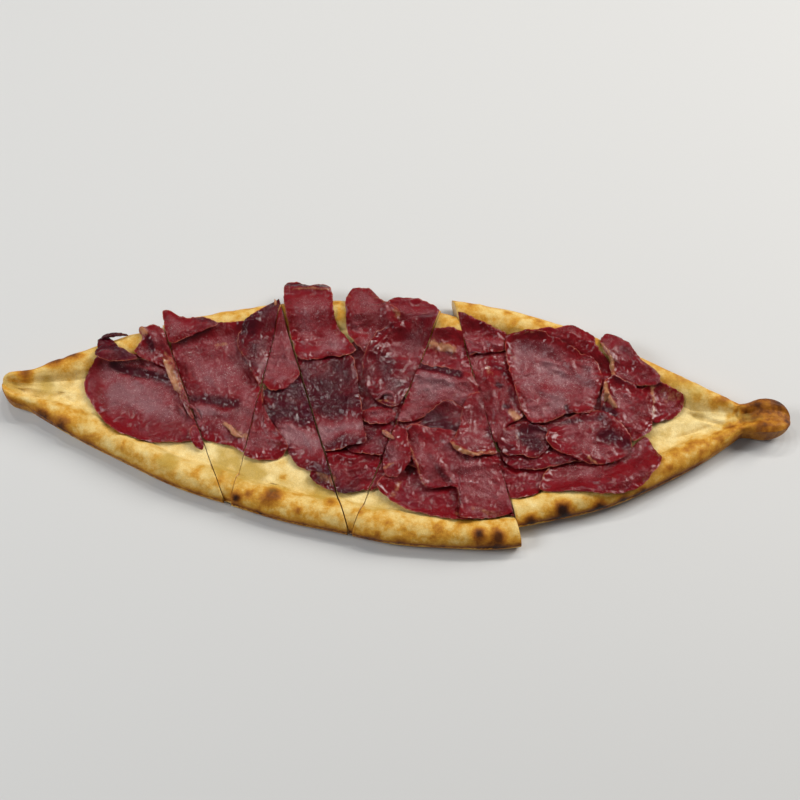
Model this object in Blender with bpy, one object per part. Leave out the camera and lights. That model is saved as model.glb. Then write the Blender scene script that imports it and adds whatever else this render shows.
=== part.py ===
"""Turkish pide topped with sliced cured beef, baked and cut into six pieces.

The bread lies along X with its underside on Z = 0. Its edge is folded in to a
low rim, the left end is pinched to a blunt tip and the right end to a small
burnt knob. Thin slices of beef overlap on the floor of the bread and ride up
on the rim at the back. Five straight knife cuts run through bread and beef,
and the six pieces have slipped a little against each other, the right one
most. Every slice lies on whatever is under it, so the stack is worked out
from the bottom up. Lengths are in millimetres until a mesh is made.
"""
import math

import bmesh
import bpy
import numpy as np

MM = 0.001

# ---- bread, before it is cut -------------------------------------------------
TIP_LEFT = -227.0            # X of the pinched left tip
TIP_RIGHT = 227.7            # X of the right end of the knob
BACK_APEX = (-25.0, 72.0)    # furthest point of the back edge
BACK_FALL = (0.0016, 0.00138)    # how fast that edge falls away, left and right
FRONT_APEX = (40.0, -79.0)   # furthest point of the front edge
FRONT_FALL = (0.00116, 0.0025)
EDGE_WAVE = 0.9              # the outline wanders in and out by this much
CAP_LENGTH = 9.0             # rounding of the left tip
TIP_HALF_WIDTH = 8.5         # and how blunt it is
HOOK = 4.0                   # the left tip bends to the back by this much
KNOB_X = 213.0
KNOB_HALF_LENGTH = 15.0
KNOB_HALF_WIDTH = 11.0
NECK_X = 206.0               # the middle line runs straight on from here
TIP_LIFT = 3.0               # both ends rise clear of the surface
TIP_LIFT_FROM = 190.0

RIM_HEIGHT = 13.0
RIM_WIDTH = 19.0
RIM_WAVE = 0.9
FLOOR = 6.0
FLOOR_SAG = 0.6
EDGE_HEIGHT = 5.0            # height of the widest line of the crust
NARROW = 27.0                # where the bread is slimmer, its rims close up
STATIONS = 36

# one rim, from the underside over the top to the floor:
# share of the rim's width in from the edge, share of the rim's height
RIM_SECTION = (
    (0.36, 0.0),
    (0.10, 0.10),
    (0.0, 0.38),
    (0.06, 0.70),
    (0.25, 0.94),
    (0.50, 1.0),
    (0.76, 0.84),
    (0.93, 0.60),
)

# ---- knife cuts: the point at the back and the point at the front ------------
CUTS = (
    ((-136.0, 41.0), (-91.0, -64.0)),
    ((-73.0, 51.0), (-90.0, -63.0)),
    ((-69.0, 59.0), (-27.0, -65.0)),
    ((23.0, 66.0), (-21.0, -71.0)),
    ((31.0, 72.0), (69.0, -69.0)),
)
KNIFE_GAP = 0.3              # between two pieces of bread
BEEF_CUT_BACK = 0.2          # the beef stops this much short of the bread's cut
# how far each piece has slipped (X, Y)
SLIPS = (
    (0.2, -0.5),
    (0.0, 0.8),
    (0.0, -0.6),
    (0.3, 0.5),
    (0.3, -0.7),
    (-2.3, 10.5),
)
CENTRE_SHIFT = (0.7, -2.0)

# ---- beef --------------------------------------------------------------------
BEEF_THICK = 1.3
BEEF_GAP = 0.3               # clear space kept to whatever lies under a slice
OUTLINE_POINTS = 20
LEAST_STEP = 1.5             # two points of an outline are never closer than this
BRIDGING = 3                 # how often low points are drawn up to their neighbours
DROOP = 0.25                 # fall of a slice that hangs out past the bread
CELL = 1.0                   # grid on which the heights of the stack are kept

# Bottom slice first. Name, the pieces of bread it lies on, middle (X, Y), half
# length, half width, turn in degrees, squareness of the outline (2 is an
# ellipse), taper of the width towards the far end, and bend: how far the two
# ends lie off to the left of the middle.
SLICES = (
    ("front_left", (3, 4, 5), -21, -33, 27, 17, -169, 1.9, 0, 0),
    ("front_mid", (5, 6), 41, -44, 48, 21, -3, 1.9, -0.2, -2),
    ("front_right", (6,), 119, -44, 34, 12, 14, 2.9, 0.1, 6),
    ("under_mid", (4,), -16, 9, 38, 16, -83, 2.4, 0.4, -8),
    ("under_fold", (5,), 28, -4, 31, 27, 90, 3.6, -0.2, 0),
    ("under_right", (6,), 103, -10, 46, 24.5, -169, 5.0, 0.3, -9),
    ("mid_left", (3,), -49, -9, 35, 20, -65, 3.1, -0.4, 5),
    ("wide_left", (2, 3), -100, 11, 40, 23, -76, 5.0, -0.2, 6),
    ("end_right", (6,), 154, 1, 13, 11.5, 19, 2.2, -0.1, -2),
    ("back_round", (4,), 6, 62, 16, 12.5, -14, 2.2, 0, 2),
    ("back_burnt", (5,), 29, 33, 21, 17, 138, 1.9, 0.6, -2),
    ("back_lobe", (4,), -19, 58, 23, 14.5, 108, 1.9, -0.2, 2),
    ("strip_right", (6,), 57, 8, 31, 13, 103, 4.6, 0.1, 3),
    ("corner", (6,), 50, 40, 16, 10, -6, 3.5, -0.5, 4),
    ("back_red", (6,), 109, 29, 22, 10.5, 132, 3.2, 0.2, 0),
    ("back_fold", (6,), 135, 26, 20, 9, 132, 2.6, 0.1, -6),
    ("curled", (6,), 134, -4, 20, 14.5, 116, 1.8, 0, 0),
    ("grey", (6,), 75, -26, 16, 11.5, 5, 2.0, 0.1, 0),
    ("glossy", (6,), 111, -23, 24, 15.5, 0, 1.8, 0.2, 0),
    ("wrinkled", (6,), 87, 18, 33, 23, 130, 2.0, -0.6, 0),
    ("ring", (4,), -2, 30, 29, 16, -105, 2.1, -0.1, 6),
    ("small_mid", (4,), -11, -4, 9.5, 5.5, -175, 2.5, 0.1, 0),
    ("pale", (5,), 26, 13, 22, 14.5, -1, 5.0, -0.3, -9),
    ("folded", (5,), 26, -8, 16, 12, 13, 1.9, 0.4, -1),
    ("draped", (5,), 36, -34, 37, 20.5, -37, 1.9, 0.3, -2),
    ("white_edge", (5,), 45, -7, 20, 10.5, -90, 3.8, 0.5, -1),
    ("sliver", (5,), 0, -25, 16, 7.5, -92, 2.4, 0.1, -2),
    ("purple", (4,), -38, 5, 32, 17, -77, 4.1, -0.2, 0),
    ("back_tall", (4,), -51, 56, 26, 15, 107, 4.9, 0, -2),
    ("wedge", (3,), -68, 43, 32, 10.5, 88, 2.2, -0.6, 2),
    ("dark_fold", (2,), -78, 46, 25, 11.5, -110, 1.9, 0.5, 7),
    ("flap", (2,), -123, 47, 15, 7, 8, 4.3, -0.6, 0),
    ("oval", (1,), -144, 2, 38, 25, -31, 1.8, -0.1, 0),
    ("hook", (1,), -165, 32, 11, 4, -21, 4.6, -0.6, 2),
    ("ragged", (1,), -139, 36, 14, 6, -40, 2.8, -0.6, 2),
    ("fat_strip", (1,), -123, 10, 21, 4.5, -63, 3.6, -0.3, 0),
    ("small_tip", (1,), -112, -21, 7.5, 3.5, 109, 2.5, 0.1, -1),
)


# ---- bread -------------------------------------------------------------------
def falling_edge(x, apex, fall):
    """A parabola through its apex, with its own rate of fall on each side."""
    along = x - apex[0]
    rate = np.where(along < 0.0, fall[0], fall[1])
    return apex[1] - math.copysign(1.0, apex[1]) * rate * along ** 2


def half_circle(u):
    """1 at u = 0, falling to 0 at u = -1 and 1 as a half circle does."""
    return np.sqrt(np.clip(1.0 - u ** 2, 0.0, 1.0))


def middle_and_half(x):
    """Middle line and half width of the bread in plan, for an array of X."""
    inside = np.clip(x, TIP_LEFT, NECK_X)
    back = falling_edge(inside, BACK_APEX, BACK_FALL)
    front = falling_edge(inside, FRONT_APEX, FRONT_FALL)
    middle = (back + front) / 2.0
    half = np.maximum(back - front, 0.0) / 2.0
    beyond = np.clip((x - NECK_X) / (KNOB_X - NECK_X), 0.0, 1.0)
    half = half * (1.0 - beyond)
    cap = np.clip((TIP_LEFT + CAP_LENGTH - x) / CAP_LENGTH, 0.0, 1.0)
    half = half * np.sqrt(1.0 - cap ** 2)
    knob = KNOB_HALF_WIDTH * half_circle((x - KNOB_X) / KNOB_HALF_LENGTH)
    tip = TIP_HALF_WIDTH * half_circle((x - TIP_LEFT - CAP_LENGTH) / CAP_LENGTH)
    half = (half ** 3 + knob ** 3 + tip ** 3) ** (1.0 / 3.0)
    return middle + HOOK * cap ** 2, half


def wander(x, phase):
    """A slow uneven wave between about -1 and 1."""
    return 0.6 * np.sin(x / 23.0 + phase) + 0.4 * np.sin(x / 9.7 + 2.3 * phase)


def rise(x):
    """How far the underside lifts at the two ends."""
    over = np.clip(np.abs(x) - TIP_LIFT_FROM, 0.0, None)
    return TIP_LIFT * (over / (TIP_RIGHT - TIP_LIFT_FROM)) ** 2


def section(x, middle, half):
    """One closed cross-section as (Y, Z) points, front underside first."""
    slim = min(1.0, half / NARROW)
    width = RIM_WIDTH * slim
    floor = FLOOR + (RIM_HEIGHT - 2.0 - FLOOR) * (1.0 - slim)
    sides = []
    for side, phase in ((-1.0, 0.7), (1.0, 3.1)):
        edge = half + EDGE_WAVE * slim * wander(x, phase)
        height = RIM_HEIGHT + RIM_WAVE * wander(x, phase + 1.0)
        rim = [(middle + side * (edge - share * width), level * height) for share, level in RIM_SECTION]
        rim.append((middle + side * (edge - width), floor))
        inner = edge - width
        rim.append((middle + side * inner * 0.5, floor - FLOOR_SAG * slim))
        sides.append(rim)
    front, back = sides
    crown = [(middle, floor - FLOOR_SAG * slim * 0.5)]
    under = [(middle, 0.0)]
    lift = rise(x)
    return [(y, z + lift) for y, z in front + crown + back[::-1] + under]


def bread_mesh():
    """The uncut bread: a loft through unlike sections, closed to a point at both ends."""
    turn = np.pi * np.arange(1, STATIONS) / STATIONS
    middle_x = (TIP_LEFT + TIP_RIGHT) / 2.0
    xs = middle_x - (TIP_RIGHT - TIP_LEFT) / 2.0 * np.cos(turn)
    middles, halves = middle_and_half(xs)
    bm = bmesh.new()
    rings = []
    for x, middle, half in zip(xs, middles, halves):
        ring = [bm.verts.new((x * MM, y * MM, z * MM)) for y, z in section(x, middle, half)]
        rings.append(ring)
    for ring, following in zip(rings, rings[1:]):
        for i in range(len(ring)):
            j = (i + 1) % len(ring)
            bm.faces.new((ring[i], ring[j], following[j], following[i]))
    for tip_x, ring in ((TIP_LEFT, rings[0]), (TIP_RIGHT, rings[-1])):
        tip_y = sum(v.co.y for v in ring) / len(ring)
        tip_z = (EDGE_HEIGHT + rise(tip_x)) * MM
        tip = bm.verts.new((tip_x * MM, tip_y, tip_z))
        for i in range(len(ring)):
            bm.faces.new((ring[i], ring[(i + 1) % len(ring)], tip))
    bmesh.ops.recalc_face_normals(bm, faces=bm.faces)
    bmesh.ops.triangulate(bm, faces=bm.faces)
    return bm


# ---- knife -------------------------------------------------------------------
def cut_plane(cut):
    """A point on the cut and the unit normal in plan that points to its right side."""
    back, front = cut
    dx = front[0] - back[0]
    dy = front[1] - back[1]
    length = math.hypot(dx, dy)
    return back, (-dy / length, dx / length)


def piece_sides(index):
    """The half planes that bound a piece: to the right of the cut before it, left of all others."""
    sides = []
    if index > 0:
        point, normal = cut_plane(CUTS[index - 1])
        sides.append((point, normal))
    for cut in CUTS[index:]:
        point, normal = cut_plane(cut)
        sides.append((point, (-normal[0], -normal[1])))
    return sides


def cut_bread(whole, index):
    """A copy of the whole bread with everything outside the piece cut away."""
    bm = whole.copy()
    for point, normal in piece_sides(index):
        keep = KNIFE_GAP / 2.0
        at = ((point[0] + normal[0] * keep) * MM, (point[1] + normal[1] * keep) * MM, 0.0)
        geometry = bm.verts[:] + bm.edges[:] + bm.faces[:]
        bmesh.ops.bisect_plane(
            bm, geom=geometry, plane_co=at, plane_no=(normal[0], normal[1], 0.0), clear_inner=True
        )
        rim = [edge for edge in bm.edges if edge.is_boundary]
        if rim:
            bmesh.ops.holes_fill(bm, edges=rim, sides=0)
    bmesh.ops.triangulate(bm, faces=bm.faces)
    bmesh.ops.recalc_face_normals(bm, faces=bm.faces)
    return bm


def clip_outline(outline, point, normal, keep):
    """The part of a closed outline that lies on the normal's side of a line."""
    depth = (outline - np.array(point)) @ np.array(normal) - keep
    kept = []
    for i in range(len(outline)):
        j = (i + 1) % len(outline)
        if depth[i] >= 0.0:
            kept.append(outline[i])
        if (depth[i] >= 0.0) != (depth[j] >= 0.0):
            share = depth[i] / (depth[i] - depth[j])
            kept.append(outline[i] + share * (outline[j] - outline[i]))
    kept = np.array(kept).reshape(-1, 2)
    apart = np.linalg.norm(kept - np.roll(kept, 1, axis=0), axis=1)
    return kept[apart > LEAST_STEP]


# ---- heights of the stack ----------------------------------------------------
class HeightField:
    """Heights of everything laid so far, on a square grid over the pide."""

    def __init__(self):
        self.low = np.array([TIP_LEFT - 15.0, FRONT_APEX[1] - 25.0])
        size = np.array([TIP_RIGHT + 15.0, BACK_APEX[1] + 30.0]) - self.low
        self.heights = np.zeros((size / CELL).astype(int) + 1)

    def cells(self, points):
        index = np.rint((points - self.low) / CELL).astype(int)
        return np.clip(index, 1, np.array(self.heights.shape) - 2)

    def read(self, points):
        """The greatest height within one cell of each point."""
        index = self.cells(points)
        found = np.full(len(points), -1.0)
        for dx in (-1, 0, 1):
            for dy in (-1, 0, 1):
                found = np.maximum(found, self.heights[index[:, 0] + dx, index[:, 1] + dy])
        return found

    def lay(self, bm):
        """Raise the field to the top of a mesh."""
        for face in bm.faces:
            corners = np.array([tuple(v.co) for v in face.verts]) / MM
            longest = np.linalg.norm(corners - np.roll(corners, 1, axis=0), axis=1).max()
            samples = spread_over_triangle(int(longest / (0.6 * CELL)) + 1) @ corners
            index = self.cells(samples[:, :2])
            np.maximum.at(self.heights, (index[:, 0], index[:, 1]), samples[:, 2])

    def level_outside(self):
        """Past the bread's edge the field goes on near the rim's height, so that
        a slice which hangs out droops a little and doesn't fold down."""
        xs = self.low[0] + CELL * np.arange(self.heights.shape[0])
        ys = self.low[1] + CELL * np.arange(self.heights.shape[1])
        middle, half = middle_and_half(xs)
        past = np.abs(ys[None, :] - middle[:, None]) - (half - 0.3 * RIM_WIDTH)[:, None]
        level = RIM_HEIGHT - 1.0 - DROOP * past
        self.heights = np.where(past > 0.0, np.maximum(self.heights, level), self.heights)


def spread_over_triangle(steps):
    """Barycentric weights of an even grid of points over a triangle."""
    weights = [(i / steps, j / steps) for i in range(steps + 1) for j in range(steps + 1 - i)]
    first, second = np.array(weights).T
    return np.stack([first, second, 1.0 - first - second], axis=1)


# ---- beef --------------------------------------------------------------------
def slice_outline(middle, half_length, half_width, turn, square, taper, bend):
    """A superellipse that narrows towards its far end and is bent like a bow,
    turned and put in place."""
    count = OUTLINE_POINTS if half_length > 16.0 else OUTLINE_POINTS * 3 // 5
    angle = 2.0 * np.pi * (np.arange(count) + 0.5) / count
    along = np.sign(np.cos(angle)) * np.abs(np.cos(angle)) ** (2.0 / square)
    across = np.sign(np.sin(angle)) * np.abs(np.sin(angle)) ** (2.0 / square)
    u = half_length * along
    v = half_width * across * (1.0 + taper * along) + bend * (along ** 2 - 0.4)
    c, s = math.cos(math.radians(turn)), math.sin(math.radians(turn))
    return np.stack([middle[0] + c * u - s * v, middle[1] + s * u + c * v], axis=1)


def outline_area(outline):
    x, y = outline.T
    return 0.5 * abs(np.dot(x, np.roll(y, -1)) - np.dot(y, np.roll(x, -1)))


def sheet_grid(outline):
    """Points and triangles of a flat sheet: its centre, inner rings and the outline."""
    centre = outline.mean(axis=0)
    shares = (0.36, 0.70, 1.0) if outline_area(outline) > 1500.0 else (0.55, 1.0)
    count = len(outline)
    points = np.concatenate([[centre]] + [centre + share * (outline - centre) for share in shares])
    faces = [(0, 1 + i, 1 + (i + 1) % count) for i in range(count)]
    for ring in range(len(shares) - 1):
        start = 1 + ring * count
        for i in range(count):
            a, b = start + i, start + (i + 1) % count
            faces.append((a, a + count, b + count))
            faces.append((a, b + count, b))
    return points, np.array(faces)


def neighbour_means(count, faces):
    """A matrix that gives each point the mean of the points it shares an edge with."""
    linked = np.zeros((count, count))
    for a, b in ((0, 1), (1, 2), (2, 0)):
        linked[faces[:, a], faces[:, b]] = 1.0
        linked[faces[:, b], faces[:, a]] = 1.0
    return linked / linked.sum(axis=1, keepdims=True)


def settle(points, faces, field):
    """Heights at which a sheet clears the field everywhere. A slice is stiff enough
    to bridge hollows, so low points are first drawn up towards their neighbours.
    Then the corners of each triangle rise until no point inside it is too low."""
    weights = spread_over_triangle(10)
    places = np.einsum("sk,fkc->fsc", weights, points[faces])
    ground = field.read(places.reshape(-1, 2)).reshape(places.shape[:2]) + BEEF_GAP
    heights = field.read(points) + BEEF_GAP
    means = neighbour_means(len(points), faces)
    for _ in range(BRIDGING):
        heights = np.maximum(heights, means @ heights)
    for _ in range(60):
        short = ground - np.einsum("sk,fk->fs", weights, heights[faces])
        lift = np.clip(short, 0.0, None)[:, :, None] * weights[None, :, :]
        worst = (lift / (weights ** 2).sum(axis=1)[None, :, None]).max(axis=1)
        if worst.max() < 0.001:
            break
        raised = np.zeros(len(heights))
        np.maximum.at(raised, faces, worst)
        heights = heights + raised
    return heights


def beef_mesh(outline, field):
    """A slice: the settled sheet, pulled straight up to its thickness."""
    points, faces = sheet_grid(outline)
    heights = settle(points, faces, field)
    bm = bmesh.new()
    verts = [bm.verts.new((x * MM, y * MM, z * MM)) for (x, y), z in zip(points, heights)]
    for face in faces:
        bm.faces.new([verts[i] for i in face])
    pulled = bmesh.ops.extrude_face_region(bm, geom=bm.faces[:], use_keep_orig=True)
    tops = [item for item in pulled["geom"] if isinstance(item, bmesh.types.BMVert)]
    bmesh.ops.translate(bm, verts=tops, vec=(0.0, 0.0, BEEF_THICK * MM))
    bmesh.ops.triangulate(bm, faces=bm.faces)
    bmesh.ops.recalc_face_normals(bm, faces=bm.faces)
    return bm


# ---- objects -----------------------------------------------------------------
def make_material(name, colour, roughness):
    material = bpy.data.materials.new(name)
    material.use_nodes = True
    shader = material.node_tree.nodes["Principled BSDF"]
    shader.inputs["Base Color"].default_value = (*colour, 1.0)
    shader.inputs["Roughness"].default_value = roughness
    shader.inputs["Metallic"].default_value = 0.0
    return material


def add_object(name, bm, material, slip, collection):
    mesh = bpy.data.meshes.new(name)
    bm.to_mesh(mesh)
    bm.free()
    mesh.materials.append(material)
    obj = bpy.data.objects.new(name, mesh)
    obj.location = ((slip[0] + CENTRE_SHIFT[0]) * MM, (slip[1] + CENTRE_SHIFT[1]) * MM, 0.0)
    collection.objects.link(obj)


def main():
    for obj in list(bpy.data.objects):
        bpy.data.objects.remove(obj, do_unlink=True)
    collection = bpy.data.collections.new("turkish_pide")
    bpy.context.scene.collection.children.link(collection)
    dough = make_material("baked_dough", (0.66, 0.42, 0.17), 0.62)
    beef = make_material("cured_beef", (0.17, 0.018, 0.028), 0.28)
    fat = make_material("beef_fat", (0.56, 0.33, 0.19), 0.32)

    field = HeightField()
    whole = bread_mesh()
    for index, slip in enumerate(SLIPS):
        piece = cut_bread(whole, index)
        field.lay(piece)
        add_object(f"bread_{index + 1}", piece, dough, slip, collection)
    whole.free()
    field.level_outside()

    for name, pieces, x, y, half_length, half_width, turn, square, taper, bend in SLICES:
        outline = slice_outline((x, y), half_length, half_width, turn, square, taper, bend)
        laid = []
        for number in pieces:
            part = outline
            for point, normal in piece_sides(number - 1):
                part = clip_outline(part, point, normal, KNIFE_GAP / 2.0 + BEEF_CUT_BACK)
            laid.append((number, beef_mesh(part, field)))
        for number, bm in laid:
            field.lay(bm)
            material = fat if name == "fat_strip" else beef
            add_object(f"beef_{name}_{number}", bm, material, SLIPS[number - 1], collection)


main()
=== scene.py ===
"""Turkish pide with cured beef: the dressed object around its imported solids.

The bread is worked out again from the same plan and section as its solids, on a
fine grid, with the unevenness, folds, blisters and browning of baked dough. The
slices of beef are thin sheets laid one after the other on a grid of heights, so
that each drapes over whatever is under it. Lengths in the tables are in
millimetres; meshes are in metres.
"""

import math

import bmesh
import bpy
import numpy as np
from mathutils import Matrix, Vector


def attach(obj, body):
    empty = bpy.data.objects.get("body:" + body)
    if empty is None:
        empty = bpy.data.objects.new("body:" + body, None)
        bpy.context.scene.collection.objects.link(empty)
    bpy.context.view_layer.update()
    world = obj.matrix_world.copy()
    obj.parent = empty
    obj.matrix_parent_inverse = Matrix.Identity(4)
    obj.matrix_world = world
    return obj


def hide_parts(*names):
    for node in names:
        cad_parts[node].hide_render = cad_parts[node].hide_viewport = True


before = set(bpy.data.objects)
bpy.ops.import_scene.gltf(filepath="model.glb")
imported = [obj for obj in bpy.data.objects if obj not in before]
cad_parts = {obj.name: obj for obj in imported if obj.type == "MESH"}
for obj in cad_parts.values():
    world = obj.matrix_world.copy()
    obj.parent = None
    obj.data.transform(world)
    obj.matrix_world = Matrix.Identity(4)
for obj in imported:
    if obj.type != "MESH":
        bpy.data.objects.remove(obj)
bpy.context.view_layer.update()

bl_info = {
    "name": "Turkish pide",
    "version": (1, 0, 0),
    "blender": (4, 5, 0),
    "location": "View3D > Sidebar > Pide",
    "description": "Makes a sliced turkish pide with cured beef around its packed solids",
    "category": "Object",
}

MM = 0.001

# ---- plan of the bread, before it is cut ---------------------------------------
TIP_LEFT = -227.0
TIP_RIGHT = 227.7
BACK_APEX = (-25.0, 72.0)
BACK_FALL = (0.0016, 0.00138)
FRONT_APEX = (40.0, -79.0)
FRONT_FALL = (0.00116, 0.0025)
EDGE_WAVE = 0.9
CAP_LENGTH = 9.0
TIP_HALF_WIDTH = 8.5
HOOK = 4.0
KNOB_X = 213.0
KNOB_HALF_LENGTH = 14.7
KNOB_HALF_WIDTH = 11.0
NECK_X = 206.0
TIP_LIFT = 3.0
TIP_LIFT_FROM = 190.0
RIM_WAVE = 0.9
FLOOR_SAG = 0.6
EDGE_HEIGHT = 5.0
NARROW = 27.0

# one rim from its widest line over the top to its foot on the floor:
# share of the rim's width in from the edge, share of the rim's height
RIM_OVER = ((0.0, 0.38), (0.05, 0.70), (0.25, 0.94), (0.50, 1.0), (0.76, 0.86), (0.93, 0.60), (1.0, 0.46))
# and from the widest line under the bread
RIM_EDGE = 19.0
RIM_UNDER = ((0.0, 0.38), (0.03, 0.20), (0.11, 0.08), (0.22, 0.02), (0.38, 0.0), (1.0, 0.0))

# ---- knife cuts: the point at the back and the point at the front --------------
CUTS = (
    ((-136.0, 41.0), (-91.0, -64.0)),
    ((-73.0, 51.0), (-90.0, -63.0)),
    ((-69.0, 59.0), (-27.0, -65.0)),
    ((23.0, 66.0), (-21.0, -71.0)),
    ((31.0, 72.0), (69.0, -69.0)),
)
KNIFE_GAP = 0.04
SLIPS = ((0.2, -0.5), (0.0, 0.8), (0.0, -0.6), (0.3, 0.5), (0.3, -0.7), (-2.3, 10.5))
CENTRE_SHIFT = (0.7, -2.0)

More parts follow.
